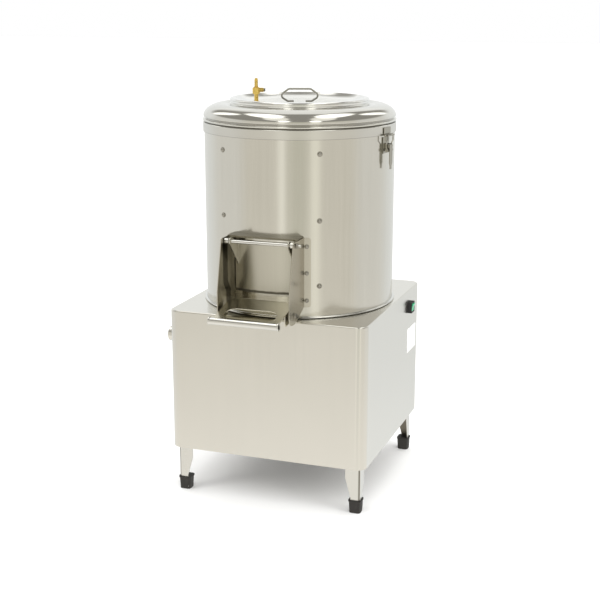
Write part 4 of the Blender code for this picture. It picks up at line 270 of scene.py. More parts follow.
@dataclass(frozen=True)
class Finish:
    """What every finish has: the name of its material, and the record's slot that it belongs to, which is not used.
    """

    name: str
    slot: str

    def material(self) -> bpy.types.Material:
        """The material, made the first time that it is asked for."""
        found = bpy.data.materials.get(self.name)
        if found:
            return found
        made = bpy.data.materials.new(self.name)
        made.use_nodes = True
        bench = Bench(made.node_tree)
        shader = bench.add("ShaderNodeBsdfPrincipled", inputs=self.look(bench), out="BSDF")
        bench.add("ShaderNodeOutputMaterial", inputs={"Surface": shader})
        made.diffuse_color = VIEWPORT_GREY
        return made

    def look(self, bench: Bench) -> dict[str, Any]:
        """The shader's inputs, which each finish works out."""
        raise NotImplementedError

    @staticmethod
    def stain(look: dict[str, Any], share: Wire, colour: Point, rougher: Wire | None = None) -> None:
        """Lays a film over a look.

        Args:
            look: the shader's inputs, which it changes.
            share: how much of the film shows.
            colour: its colour.
            rougher: what it adds to the roughness, if anything.
        """
        look["Base Color"] = share.bench.mix(share, look["Base Color"], colour)
        if rougher is not None:
            look["Roughness"] = look["Roughness"] + rougher

    def dress(self, piece: bpy.types.Object) -> bpy.types.Object:
        """Puts the material on the whole piece."""
        piece.data.materials.clear()
        piece.data.materials.append(self.material())
        for face in piece.data.polygons:
            face.material_index = 0
        return piece


@dataclass(frozen=True)
class BrushedSheet(Finish):
    """Stainless sheet brushed one way, faintly cloudy, with thin scratches from wiping."""

    colour: Point = (0.60, 0.585, 0.53)
    roughness: float = 0.34
    grain: Grain = Grain.UP
    contrast: float = 0.03
    depth: float = 0.00001

    def look(self, bench: Bench) -> dict[str, Any]:
        """Streaks along the grain, clouds of handling and a few scratches."""
        fine = bench.noise(self.grain.value, 2.0, 0.6)
        broad = bench.noise([value / 9 for value in self.grain.value], 3.0, 0.55)
        cloud = bench.noise((5.0, 5.0, 5.0), 3.0, 0.5)
        wipe = bench.noise((31.0, 27.0, 23.0), 4.0, 0.65)
        streak = fine * 0.6 + broad * 0.4
        low = [channel * (1 - self.contrast) for channel in self.colour]
        high = [min(channel * (1 + self.contrast * 0.7), 1.0) for channel in self.colour]
        body = bench.mix(streak.smooth(0.32, 0.68), low, high)
        worn = bench.mix(cloud.smooth(0.35, 0.75, 0.0, 0.35), body, [min(c * 1.06, 1.0) for c in self.colour])
        rough = streak * 0.05 + cloud * 0.05 + wipe.smooth(0.50, 0.85) * 0.02 + (self.roughness - 0.05)
        return {"Base Color": worn, "Metallic": 1.0, "Roughness": rough,
                "Normal": bench.bump(streak, self.depth, 0.35)}


@dataclass(frozen=True)
class ShadedChuteSheet(BrushedSheet):
    """Brushed sheet with painted shade in patches on its side towards the chute, and a painted shadow band on the
    left.

    Attributes:
        shade_tint: the colour of the painted shade.
        shadow_band: the colour of the painted shadow band.
        shadow_band_half: half the band's width.
        shadow_band_bend: the heights between which the band bends.
        shadow_band_depth: how deep it lies below the bend and above it.
    """

    shade_tint: Point = (0.330, 0.305, 0.235)
    shadow_band: Point = (0.050, 0.042, 0.022)
    shadow_band_half: float = 0.0150
    shadow_band_bend: Point = (0.546, 0.580)
    shadow_band_depth: Point = (-0.203, -0.2205)

    def look(self, bench: Bench) -> dict[str, Any]:
        """The brushed sheet, with patchy painted shade between the two side plates and the painted shadow band over
        it.
        """
        look = super().look(bench)
        left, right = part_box("chute_side_left")[1].x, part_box("chute_side_right")[0].x
        middle, half = (left + right) / 2, (right - left) / 2
        # Painted shade: the plates' sides inside the chute are darkened in patches and made rougher.
        inner = abs(bench.axis("X") - middle).smooth(half + 0.0005, half + 0.0013, 1.0, 0.0)
        film = bench.noise((55.0, 55.0, 16.0), 4.0, 0.6)
        self.stain(look, inner * film.smooth(0.25, 0.6, 0.7, 1.0), self.shade_tint, inner * film * 0.20)
        # Painted shadow: a dark band that bends down the left plate's inner side.
        course = bench.axis("Z").smooth(*self.shadow_band_bend, *self.shadow_band_depth)
        across = abs(bench.axis("Y") - course).smooth(self.shadow_band_half - 0.0025, self.shadow_band_half + 0.0015, 0.9, 0.0)
        leftward = bench.axis("X").smooth(left, right, 1.0, 0.0) > 0.5
        self.stain(look, inner * across * leftward, self.shadow_band)
        return look


@dataclass(frozen=True)
class ShadowedSheet(BrushedSheet):
    """Brushed sheet with a painted shadow below the chute, low on the drum and on the cabinet.

    Attributes:
        centre: the painted shadow's middle, in X and Y.
        half: its half width and half depth.
        fall: how far below the cabinet's top it ends.
        reach: how far above the top it ends.
        film: the painted shadow's colour.
    """

    centre: Point = (-0.012, -0.185)
    half: Point = (0.085, 0.055)
    fall: float = 0.015
    reach: float = 0.016
    film: Point = (0.22, 0.20, 0.125)

    def look(self, bench: Bench) -> dict[str, Any]:
        """The brushed sheet, with the painted shadow fading out towards its rim."""
        look = super().look(bench)
        across = (bench.axis("X") - self.centre[0]) / self.half[0]
        deep = (bench.axis("Y") - self.centre[1]) / self.half[1]
        height = bench.axis("Z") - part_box("cabinet_shell")[1].z
        low = height.smooth(-self.fall, 0.003 - self.fall) * height.smooth(self.reach - 0.002, self.reach, 1.0, 0.0)
        # Painted shadow: the patch below the chute is darkened and made rougher, fading towards its rim.
        shadow_share = (across * across + deep * deep).smooth(0.7, 1.1, 0.9, 0.0) * low
        self.stain(look, shadow_share, self.film, shadow_share * 0.12)
        return look


@dataclass(frozen=True)
class DoorSheet(BrushedSheet):
    """Brushed sheet with a painted shadow, line metres high, along the edge that sits on the sill."""

    line: float = 0.0060
    shade_tint: Point = (0.10, 0.09, 0.062)

    def look(self, bench: Bench) -> dict[str, Any]:
        """The brushed sheet, with the painted shadow line above its foot."""
        look = super().look(bench)
        ragged = bench.noise((70.0, 70.0, 20.0), 3.0, 0.5)
        height = bench.axis("Z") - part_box("discharge_door")[0].z - ragged * 0.003
        # Painted shadow: a ragged dark line along the door's foot, also made rougher.
        foot_shadow = height.smooth(self.line - 0.0030, self.line, 0.85, 0.0)
        self.stain(look, foot_shadow, self.shade_tint, foot_shadow * 0.25)
        return look


@dataclass(frozen=True)
class LegSheet(BrushedSheet):
    """Brushed sheet whose sides towards the machine's middle are darkened with painted shade."""

    sheet: float = 0.0025
    shade_tint: Point = (0.200, 0.185, 0.155)

    def look(self, bench: Bench) -> dict[str, Any]:
        """The brushed sheet, with painted shade on its inner sides, found by how far they stand in from the legs'
        outer faces.
        """
        look = super().look(bench)
        near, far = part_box("leg_front_left")[0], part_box("leg_rear_right")[1]
        middle, half = (near + far) / 2, (far - near) / 2
        across = abs(bench.axis("X") - middle.x) - half.x
        deep = abs(bench.axis("Y") - middle.y) - half.y
        inner = across.math("MAXIMUM", deep).smooth(-0.8 * self.sheet, -0.3 * self.sheet, 1.0, 0.0)
        # Painted shade on the legs' inner sides, which are also made rougher.
        self.stain(look, inner, self.shade_tint, inner * 0.12)
        return look


@dataclass(frozen=True)
class PolishedSteel(Finish):
    """Pressed or turned stainless polished to a soft mirror, with faint buffing marks."""

    colour: Point = (0.72, 0.71, 0.67)
    roughness: float = 0.13
    haze: float = 0.07

    def look(self, bench: Bench) -> dict[str, Any]:
        """Haze in slow patches and hair-fine buffing lines."""
        haze = bench.noise((9.0, 9.0, 9.0), 3.0, 0.5)
        line = bench.noise((160.0, 160.0, 900.0), 3.0, 0.6)
        speck = bench.noise((420.0, 420.0, 420.0), 2.0, 0.5)
        body = bench.mix(haze.smooth(0.3, 0.7), [c * 0.95 for c in self.colour], self.colour)
        rough = haze.smooth(0.35, 0.75) * self.haze + line * 0.03 + speck.smooth(0.62, 0.8) * 0.05 + self.roughness
        return {"Base Color": body, "Metallic": 1.0, "Roughness": rough, "Normal": bench.bump(line, 0.00002, 0.35)}


@dataclass(frozen=True)
class RingSheet(PolishedSteel):
    """Polished pressing whose skirt is left brushed, with painted shade in the notch over the skirt, in the groove
    under the dome and along the skirt's lower edge.

    Attributes:
        groove: the groove's height over the drum's rim.
        notch: the notch's height.
        half: half the height of either.
        skirt: where the brushed skirt ends.
        hem_shade: where the painted shade along its lower edge ends.
        ring_shade: the colour of the painted shade.
    """

    groove: float = 0.0127
    notch: float = 0.0039
    half: float = 0.0014
    skirt: float = 0.0016
    hem_shade: float = -0.0197
    ring_shade: Point = (0.085, 0.078, 0.055)

    def look(self, bench: Bench) -> dict[str, Any]:
        """The polished pressing, with its groove and skirt found by their height over the drum's rim, and painted
        shade in the groove, the notch and along the lower edge.
        """
        look = super().look(bench)
        height = bench.axis("Z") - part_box("drum")[1].z
        groove, notch = (abs(height - level).smooth(self.half - 0.0004, self.half + 0.0004, 1.0, 0.0)
                         for level in (self.groove, self.notch))
        skirt = height.smooth(self.skirt - 0.0006, self.skirt + 0.0006, 1.0, 0.0)
        hem_shade = height.smooth(self.hem_shade - 0.0006, self.hem_shade + 0.0006, 1.0, 0.0)
        # Painted shade: groove, notch and the skirt's lower edge are darkened; skirt and notch are also made rougher.
        self.stain(look, groove * 0.50 + notch * 0.88 + hem_shade * 0.35, self.ring_shade, skirt * 0.20 + notch * 0.30)
        return look


@dataclass(frozen=True)
class Rubber(Finish):
    """Moulded rubber with a fine dry grain, paler where dust holds."""

    colour: Point = (0.030, 0.028, 0.026)
    roughness: float = 0.62

    def look(self, bench: Bench) -> dict[str, Any]:
        """Grain, dust and scuffs."""
        grain = bench.noise((1400.0, 1400.0, 1400.0), 2.0, 0.6)
        dust = bench.noise((60.0, 60.0, 25.0), 4.0, 0.6)
        pale = [channel * 2.4 + 0.012 for channel in self.colour]
        body = bench.mix(dust.smooth(0.52, 0.78, 0.0, 0.55), self.colour, pale)
        rough = grain * 0.14 + dust * 0.16 + (self.roughness - 0.15)
        return {"Base Color": body, "Roughness": rough, "Normal": bench.bump(grain, 0.00008, 0.5)}


@dataclass(frozen=True)
class Brass(Finish):
    """Turned brass, bright on its flats and duller where it has been held."""

    colour: Point = (0.83, 0.60, 0.17)
    roughness: float = 0.20

    def look(self, bench: Bench) -> dict[str, Any]:
        """Turning marks round the stem and a patchy tarnish."""
        turning = bench.noise((60.0, 60.0, 2600.0), 2.0, 0.5)
        tarnish = bench.noise((190.0, 190.0, 150.0), 4.0, 0.6)
        body = bench.mix(tarnish.smooth(0.5, 0.78, 0.0, 0.6), self.colour, (0.55, 0.34, 0.09))
        rough = turning * 0.12 + tarnish.smooth(0.45, 0.8) * 0.16 + (self.roughness - 0.06)
        return {"Base Color": body, "Metallic": 1.0, "Roughness": rough, "Normal": bench.bump(turning, 0.00005, 0.5)}


@dataclass(frozen=True)
class Plastic(Finish):
    """Moulded plastic with a fine grain and rubbed high spots, and painted emission where it is asked for."""

    colour: Point = (0.020, 0.020, 0.021)
    roughness: float = 0.42
    painted_glow: float = 0.0

    def look(self, bench: Bench) -> dict[str, Any]:
        """Mould grain, slight colour drift and finger marks, with painted emission if there is any."""
        grain = bench.noise((2100.0, 2100.0, 2100.0), 2.0, 0.5)
        drift = bench.noise((45.0, 45.0, 45.0), 3.0, 0.5)
        body = bench.mix(drift.smooth(0.3, 0.75), [c * 0.88 for c in self.colour],
                         [min(c * 1.15 + 0.002, 1.0) for c in self.colour])
        rough = grain * 0.08 + drift * 0.12 + (self.roughness - 0.10)
        look = {"Base Color": body, "Roughness": rough, "Normal": bench.bump(grain, 0.00003, 0.4)}
        # Painted light: the part gives off its own colour, though it holds no lamp.
        if self.painted_glow:
            look["Emission Color"] = (*self.colour, 1.0)
            look["Emission Strength"] = self.painted_glow
        return look


@dataclass(frozen=True)
class Grit(Finish):
    """Sharp mineral grit bonded to the disc and the liner."""

    colour: Point = (0.13, 0.125, 0.118)

    def look(self, bench: Bench) -> dict[str, Any]:
        """Grains of several shades, with bright facets here and there."""
        cells = bench.add("ShaderNodeTexVoronoi", {"feature": "F1"},
                          {"Vector": bench.scaled((620.0, 620.0, 620.0)), "Scale": 1.0}, "Distance")
        tone = bench.noise((900.0, 900.0, 900.0), 2.0, 0.7)
        stain = bench.noise((14.0, 14.0, 14.0), 4.0, 0.6)
        body = bench.mix(tone.smooth(0.35, 0.7), [c * 0.55 for c in self.colour], [c * 1.9 for c in self.colour])
        body = bench.mix(stain.smooth(0.45, 0.8, 0.0, 0.5), body, (0.21, 0.19, 0.155))
        rough = tone.smooth(0.6, 0.78, 0.95, 0.45)
        return {"Base Color": body, "Roughness": rough, "Normal": bench.bump(cells, 0.0009, 0.9)}


@dataclass(frozen=True)
class CastIron(Finish):
    """Machined grey iron with an oily film."""

    colour: Point = (0.17, 0.17, 0.175)

    def look(self, bench: Bench) -> dict[str, Any]:
        """Tool marks, pores and oil."""
        tool = bench.noise((40.0, 40.0, 1500.0), 2.0, 0.5)
        pore = bench.noise((700.0, 700.0, 700.0), 3.0, 0.6)
        oil = bench.noise((22.0, 22.0, 22.0), 4.0, 0.6)
        body = bench.mix(oil.smooth(0.4, 0.75), self.colour, [c * 0.5 for c in self.colour])
        return {"Base Color": body, "Metallic": 0.85, "Roughness": pore * 0.25 + oil * 0.15 + 0.28,
                "Normal": bench.bump(tool * 0.5 + pore * 0.5, 0.0001, 0.6)}


@dataclass(frozen=True)
class Enamel(Finish):
    """Sprayed enamel with orange peel and dust on its upper side."""

    colour: Point = (0.075, 0.105, 0.145)

    def look(self, bench: Bench) -> dict[str, Any]:
        """Orange peel and settled dust."""
        peel = bench.noise((330.0, 330.0, 330.0), 2.0, 0.5)
        dust = bench.noise((30.0, 30.0, 30.0), 4.0, 0.6)
        body = bench.mix(dust.smooth(0.5, 0.8, 0.0, 0.45), self.colour, (0.24, 0.24, 0.235))
        return {"Base Color": body, "Roughness": dust * 0.3 + 0.28, "Coat Weight": dust.smooth(0.4, 0.7, 0.4, 0.0),
                "Normal": bench.bump(peel, 0.0003, 0.35)}


# The drum's sheet carries the painted shadow below the chute.
DRUM_STEEL = ShadowedSheet("drum_steel", "brushed_steel", (0.705, 0.690, 0.640), 0.17)
# The side plates carry painted shade inside the chute and a painted shadow band.
PLATE_STEEL = ShadedChuteSheet("plate_steel", "brushed_steel", (0.58, 0.555, 0.49), 0.22)
SHELF_STEEL = BrushedSheet("shelf_steel", "brushed_steel", (0.70, 0.670, 0.565), 0.24, Grain.ACROSS)
# The legs' sheet carries painted shade on its inner sides.
LEG_STEEL = LegSheet("leg_steel", "brushed_steel", (0.75, 0.745, 0.715), 0.28, Grain.UP, 0.015, 0.000002)
# The cabinet's sheet carries the same painted shadow.
CABINET_STEEL = ShadowedSheet("cabinet_steel", "satin_steel", (0.75, 0.735, 0.69), 0.22, Grain.UP, 0.015, 0.000002)
PANEL_STEEL = BrushedSheet("panel_steel", "satin_steel", (0.71, 0.70, 0.67), 0.26, Grain.ACROSS, 0.02, 0.000003)
BRIGHT_STEEL = PolishedSteel("bright_steel", "polished_steel", (0.75, 0.745, 0.715), 0.09, 0.05)
# The ring's pressing carries painted shade in its notch, its groove and along its lower edge.
RING_STEEL = RingSheet("ring_steel", "polished_steel", (0.73, 0.72, 0.68), 0.07, 0.04)
BOLT_STEEL = PolishedSteel("bolt_steel", "polished_steel", (0.40, 0.385, 0.345), 0.20)
LATCH_STEEL = PolishedSteel("latch_steel", "polished_steel", (0.42, 0.405, 0.355), 0.16)
HANDLE_STEEL = PolishedSteel("handle_steel", "polished_steel", (0.46, 0.45, 0.415), 0.12)
# The door's sheet carries the painted shadow along its foot.
DOOR_STEEL = DoorSheet("door_steel", "brushed_steel", (0.59, 0.57, 0.50), 0.32)
LID_STEEL = PolishedSteel("lid_steel", "polished_steel", (0.90, 0.90, 0.885), 0.10, 0.05)
# Painted shade: the hood's sheet is made dark for its top, which lies in shade by the drum.
SHADED_HOOD_STEEL = BrushedSheet("shaded_hood_steel", "brushed_steel", (0.25, 0.232, 0.180), 0.30, Grain.ACROSS)
FOOT_RUBBER = Rubber("foot_rubber", "rubber", (0.020, 0.018, 0.016))
SEAL_RUBBER = Rubber("seal_rubber", "gasket_rubber", (0.075, 0.070, 0.062), 0.70)
BELT_RUBBER = Rubber("belt_rubber", "rubber", (0.022, 0.022, 0.022), 0.72)
VALVE_BRASS = Brass("valve_brass", "brass")
BLACK_PLASTIC = Plastic("black_plastic", "black_plastic")
# The rocker is given painted emission, though it holds no lamp.
GREEN_PLASTIC = Plastic("green_plastic", "green_plastic", (0.001, 0.062, 0.031), 0.30, 0.03)
PLATE_PLASTIC = Plastic("plate_white", "satin_steel", (0.86, 0.865, 0.86), 0.38)
CARBORUNDUM = Grit("carborundum", "abrasive")
GREY_IRON = CastIron("grey_iron", "cast_iron")
MOTOR_ENAMEL = Enamel("motor_enamel", "motor_paint")


# Shaping


class Stock:
    """A mesh that bmesh operators shape, and that is then kept as a finished piece."""

    def __init__(self) -> None:
        """Starts with an empty mesh."""
        self.mesh = bmesh.new()

    def turned(self, profile: Sequence[tuple[float, float]], centre: Point = (0, 0, 0), about: Turn = Turn.Z,
               steps: int = 96, closed: bool = True) -> "Stock":
        """Spins a profile once round an axis.

        Args:
            profile: its points, each a radius and a place along the axis.
            centre: a point on the axis.
            about: the axis.
            steps: how many steps the spin takes.
            closed: True joins the profile's ends.

        Returns:
            This stock.
        """
        middle, stand = Vector(centre), Matrix(about.value)
        points = [self.mesh.verts.new(middle + stand @ Vector((radius, 0, along))) for radius, along in profile]
        ends = points[1:] + points[:1] if closed else points[1:]
        edges = [self.mesh.edges.new(pair) for pair in zip(points, ends)]
        bmesh.ops.spin(self.mesh, geom=points + edges, cent=middle, axis=stand @ Vector((0, 0, 1)),
                       angle=2 * math.pi, steps=steps, use_merge=True, use_duplicate=False)
        bmesh.ops.remove_doubles(self.mesh, verts=self.mesh.verts, dist=WELD)
        return self

    def plate(self, outline: Iterable[Point], thickness: Point) -> "Stock":
        """Extrudes a flat outline.

        Args:
            outline: its corners.
            thickness: the vector of the extrusion.

        Returns:
            This stock.
        """
        face = self.mesh.faces.new([self.mesh.verts.new(point) for point in outline])
        grown = bmesh.ops.extrude_face_region(self.mesh, geom=[face], use_keep_orig=True)
        moved = [one for one in grown["geom"] if isinstance(one, bmesh.types.BMVert)]
        bmesh.ops.translate(self.mesh, verts=moved, vec=Vector(thickness))
        return self

    def rod(self, radius: float, start: Point, end: Point, steps: int = 32, tip: float | None = None) -> "Stock":
        """Adds a rod or a cone.

        Args:
            radius: its radius at the start.
            start: the centre of one end.
            end: the centre of the other.
            steps: how many sides it has.
            tip: its radius at the end, if that differs.

        Returns:
            This stock.
        """
        low, high = Vector(start), Vector(end)
        way = high - low
        stand = Matrix.Translation((low + high) / 2) @ way.to_track_quat("Z", "Y").to_matrix().to_4x4()
        bmesh.ops.create_cone(self.mesh, cap_ends=True, segments=steps, radius1=radius,
                              radius2=radius if tip is None else tip, depth=way.length, matrix=stand)
        return self

    def bevelled(self, width: float, segments: int = 3, angle: float = 35.0) -> "Stock":
        """Rounds every edge that is sharper than an angle.

        Args:
            width: the size of the rounding.
            segments: how many steps it has.
            angle: the least angle, in degrees.

        Returns:
            This stock.
        """
        bmesh.ops.recalc_face_normals(self.mesh, faces=self.mesh.faces)
        sharp = [edge for edge in self.mesh.edges
                 if len(edge.link_faces) == 2 and edge.calc_face_angle(0) > math.radians(angle)]
        bmesh.ops.bevel(self.mesh, geom=sharp, offset=width, offset_type="OFFSET", segments=segments, profile=0.5,
                        affect="EDGES", material=-1, clamp_overlap=True)
        return self

    def moved(self, matrix: Matrix) -> "Stock":
        """Moves or turns everything made so far."""
        bmesh.ops.transform(self.mesh, matrix=matrix, verts=self.mesh.verts)
        return self

    def with_copy_of(self, other: "Stock") -> "Stock":
        """Adds a copy of another stock's mesh."""
        scratch = bpy.data.meshes.new("scratch")
        other.mesh.to_mesh(scratch)
        self.mesh.from_mesh(scratch)
        bpy.data.meshes.remove(scratch)
        return self

    def kept(self, name: str, body: str, finish: Finish, stands_for: Sequence[str] = (), sharp: float = 35.0,
             turn_out: bool = True) -> bpy.types.Object:
        """Makes the finished piece.

        Args:
            name: the piece's name.
            body: the body that it rides on.
            finish: its finish.
            stands_for: the nodes that it replaces.
            sharp: the angle, in degrees, above which an edge stays crisp.
            turn_out: True turns the faces outwards.

        Returns:
            The piece.
        """
        if turn_out:
            bmesh.ops.recalc_face_normals(self.mesh, faces=self.mesh.faces)
        data = bpy.data.meshes.new(name)
        self.mesh.to_mesh(data)
        self.mesh.free()
        data.shade_smooth()
        data.set_sharp_from_angle(angle=math.radians(sharp))
        piece = bpy.data.objects.new(name, data)
        bpy.context.scene.collection.objects.link(piece)
        weigh = piece.modifiers.new("even_shading", "WEIGHTED_NORMAL")
        weigh.keep_sharp = True
        finish.dress(piece)
        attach(piece, body)
        if stands_for:
            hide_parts(*stands_for)
        REPORT.info("made %s on %s, %d faces", name, body, len(data.polygons))
        return piece


def refined(node: str, finish: Finish, rounding: float = 0.0, segments: int = 2) -> bpy.types.Object:
    """Replaces a node by a merged, smoothly shaded copy of itself.

    Args:
        node: the node.
        finish: the copy's finish.
        rounding: how far its edges are rounded, or 0.
        segments: how many steps the rounding has.

    Returns:
        The new piece.
    """
    carried = frame["nodes"][node]
    stock = Stock()
    stock.mesh.from_mesh(carried.data)
    bmesh.ops.remove_doubles(stock.mesh, verts=stock.mesh.verts, dist=5 * WELD)
    bmesh.ops.dissolve_limit(stock.mesh, angle_limit=SAME_PLANE, verts=stock.mesh.verts, edges=stock.mesh.edges)
    piece = stock.kept(f"{node}_fine", carried["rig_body"], finish, [node], turn_out=False)
    if rounding:
        soften = piece.modifiers.new("rounding", "BEVEL")
        soften.width = rounding
        soften.segments = segments
        soften.limit_method = "ANGLE"
        soften.angle_limit = CREASE
        soften.harden_normals = False
        piece.modifiers.move(1, 0)
    return piece


def arc(centre: Point, radius: float, start: float, end: float, steps: int, squash: float = 1.0
        ) -> list[tuple[float, float]]:
    """The points of an arc in a profile.

    Args:
        centre: its centre.
        radius: its radius.
        start: the first angle, in degrees.
        end: the last angle.
        steps: how many steps it takes.
        squash: how much lower than round it is.

    Returns:
        Its points.
    """
    turns = [math.radians(start + (end - start) * step / steps) for step in range(steps + 1)]
    return [(centre[0] + radius * math.cos(turn), centre[1] + radius * squash * math.sin(turn)) for turn in turns]


def rounded_box(low: Point, high: Point, corner: float, steps: int = 8) -> list[tuple[float, float]]:
    """The outline of a rectangle with round corners, anticlockwise.

    Args:
        low: its low corner.
        high: its high corner.
        corner: the radius of its corners.
        steps: how many steps each corner has.

    Returns:
        Its points.
    """
    points: list[tuple[float, float]] = []
    for x, y, start in ((high[0] - corner, low[1] + corner, -90), (high[0] - corner, high[1] - corner, 0),
                        (low[0] + corner, high[1] - corner, 90), (low[0] + corner, low[1] + corner, 180)):
        points += arc((x, y), corner, start, start + 90, steps)
    return points


def rounded_path(points: Sequence[tuple[float, float]], radii: Sequence[float], steps: int = 8
                 ) -> list[tuple[float, float]]:
    """A bent line with each inner corner rounded.

    Args:
        points: its ends and corners.
        radii: the radius at each corner.
        steps: how many steps each bend has.

    Returns:
        Its points.
    """
    path = [tuple(points[0])]
    for before, corner, after, radius in zip(points, points[1:], points[2:], radii):
        here = Vector(corner)
        back, on = (Vector(before) - here).normalized(), (Vector(after) - here).normalized()
        half = back.angle(on) / 2
        reach = radius / math.tan(half)
        middle = here + (back + on).normalized() * (radius / math.sin(half))
        first, last = here + back * reach - middle, here + on * reach - middle
        path += [tuple(middle + first.normalized().slerp(last.normalized(), step / steps) * radius)
                 for step in range(steps + 1)]
    return path + [tuple(points[-1])]


# Sub-assemblies


@dataclass
class Machine:
    """What the sub-assemblies share: the drum's radius, its axis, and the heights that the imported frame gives.

    Attributes:
        radius: the drum's outer radius.
        ledge_drop: how far below the cover ring's top its ledge lies.
        axis: the foot of the drum's axis.
        top: the height of the cabinet's top.
        rim: the height of the drum's upper edge.
        foot: the height of its lower edge.
        ledge: the height of the ledge, on which the lid lies.
    """

    radius: float = 0.2425
    ledge_drop: float = 0.0035
    axis: Vector = field(init=False)
    top: float = field(init=False)
    rim: float = field(init=False)
    foot: float = field(init=False)
    ledge: float = field(init=False)

    def __post_init__(self) -> None:
        """Reads the frame."""
        low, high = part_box("cover_ring")
        self.axis = Vector(((low.x + high.x) / 2, (low.y + high.y) / 2, 0))
        self.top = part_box("cabinet_shell")[1].z
        self.foot, self.rim = (corner.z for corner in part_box("drum"))
        self.ledge = high.z - self.ledge_drop

    def round_axis(self, angle: float) -> Matrix:
        """A turn about the drum's axis, in degrees, that starts from the front and goes to the right."""
        return Matrix.Translation(self.axis) @ Matrix.Rotation(math.radians(angle), 4, "Z")


@dataclass
class Cabinet:
    """The folded cabinet, its legs and feet, the service cover, and the bare plate on its side.

    Attributes:
        machine: the machine.
        corner: the radius of its upright corners.
        least_corner: the least that this radius comes to inside.
        edge: the radius of the bend round its top.
        sheet: the sheet's thickness.
        flange: how wide the sheet is turned in below.
        plate_low: the bare plate's low corner, in Y from the drum's axis and in Z.
        plate_size: its width and height.
        plate_sheet: its thickness.
        plate_corner: the radius of its corners.
    """

    machine: Machine
    corner: float = 0.027
    least_corner: float = 0.002
    edge: float = 0.004
    sheet: float = 0.0015
    flange: float = 0.055
    plate_low: Point = (0.134, 0.311)
    plate_size: Point = (0.085, 0.0665)
    plate_sheet: float = 0.0006
    plate_corner: float = 0.004

    def ring(self, stock: Stock, inset: float, height: float) -> list[bmesh.types.BMVert]:
        """Lays one rounded square of the cabinet's section.

        Args:
            stock: where it is laid.
            inset: how far inside the cabinet's faces it runs.
            height: how high it lies.

        Returns:
            Its points, in order.
        """
        low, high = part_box("cabinet_shell")
        outline = rounded_box((low.x + inset, low.y + inset), (high.x - inset, high.y - inset),
                              max(self.corner - inset, self.least_corner), 12)
        return [stock.mesh.verts.new((x, y, height)) for x, y in outline]

    def shell(self) -> bpy.types.Object:
        """The folded sheet, from ring to ring, with its top closed outside and inside."""
        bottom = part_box("cabinet_shell")[0].z
        stock = Stock()
        outer = [(self.edge + across, height)
                 for across, height in arc((0.0, self.machine.top - self.edge), self.edge, 90, 180, 6)]
        inner = [(inset + self.sheet, height - self.sheet) for inset, height in reversed(outer)]
        section = outer + [(0.0, bottom), (self.flange, bottom), (self.flange, bottom + self.sheet)]
        section += [(self.sheet, bottom + self.sheet)] + inner
        rings = [self.ring(stock, inset, height) for inset, height in section]
        for first, second in zip(rings, rings[1:]):
            for corners in zip(first, first[1:] + first[:1], second[1:] + second[:1], second):
                stock.mesh.faces.new(corners)
        stock.mesh.faces.new(rings[0])
        stock.mesh.faces.new(rings[-1])
        return stock.kept("cabinet_skin", "machine", CABINET_STEEL, ["cabinet_shell"], sharp=50)

    def name_plate(self) -> bpy.types.Object:
        """The bare white plate under the switch, with round corners and a soft edge."""
        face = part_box("cabinet_shell")[1].x
        low = (self.machine.axis.y + self.plate_low[0], self.plate_low[1])
        high = (low[0] + self.plate_size[0], low[1] + self.plate_size[1])
        outline = [(face, y, z) for y, z in rounded_box(low, high, self.plate_corner)]
        stock = Stock().plate(outline, (self.plate_sheet, 0, 0)).bevelled(self.plate_sheet / 3, 2)
        return stock.kept("bare_plate", "machine", PLATE_PLASTIC)

    def build(self) -> None:
        """Makes the cabinet's pieces."""
        self.shell()
        self.name_plate()
        for end in ENDS:
            for side in SIDES:
                refined(f"leg_{end}_{side}", LEG_STEEL, rounding=0.0006)
                refined(f"foot_{end}_{side}", FOOT_RUBBER, rounding=0.0008, segments=3)
        refined("rear_panel", PANEL_STEEL)
        refined("drain_pipe", CABINET_STEEL)
        refined("cable_gland", BLACK_PLASTIC, rounding=0.0003)


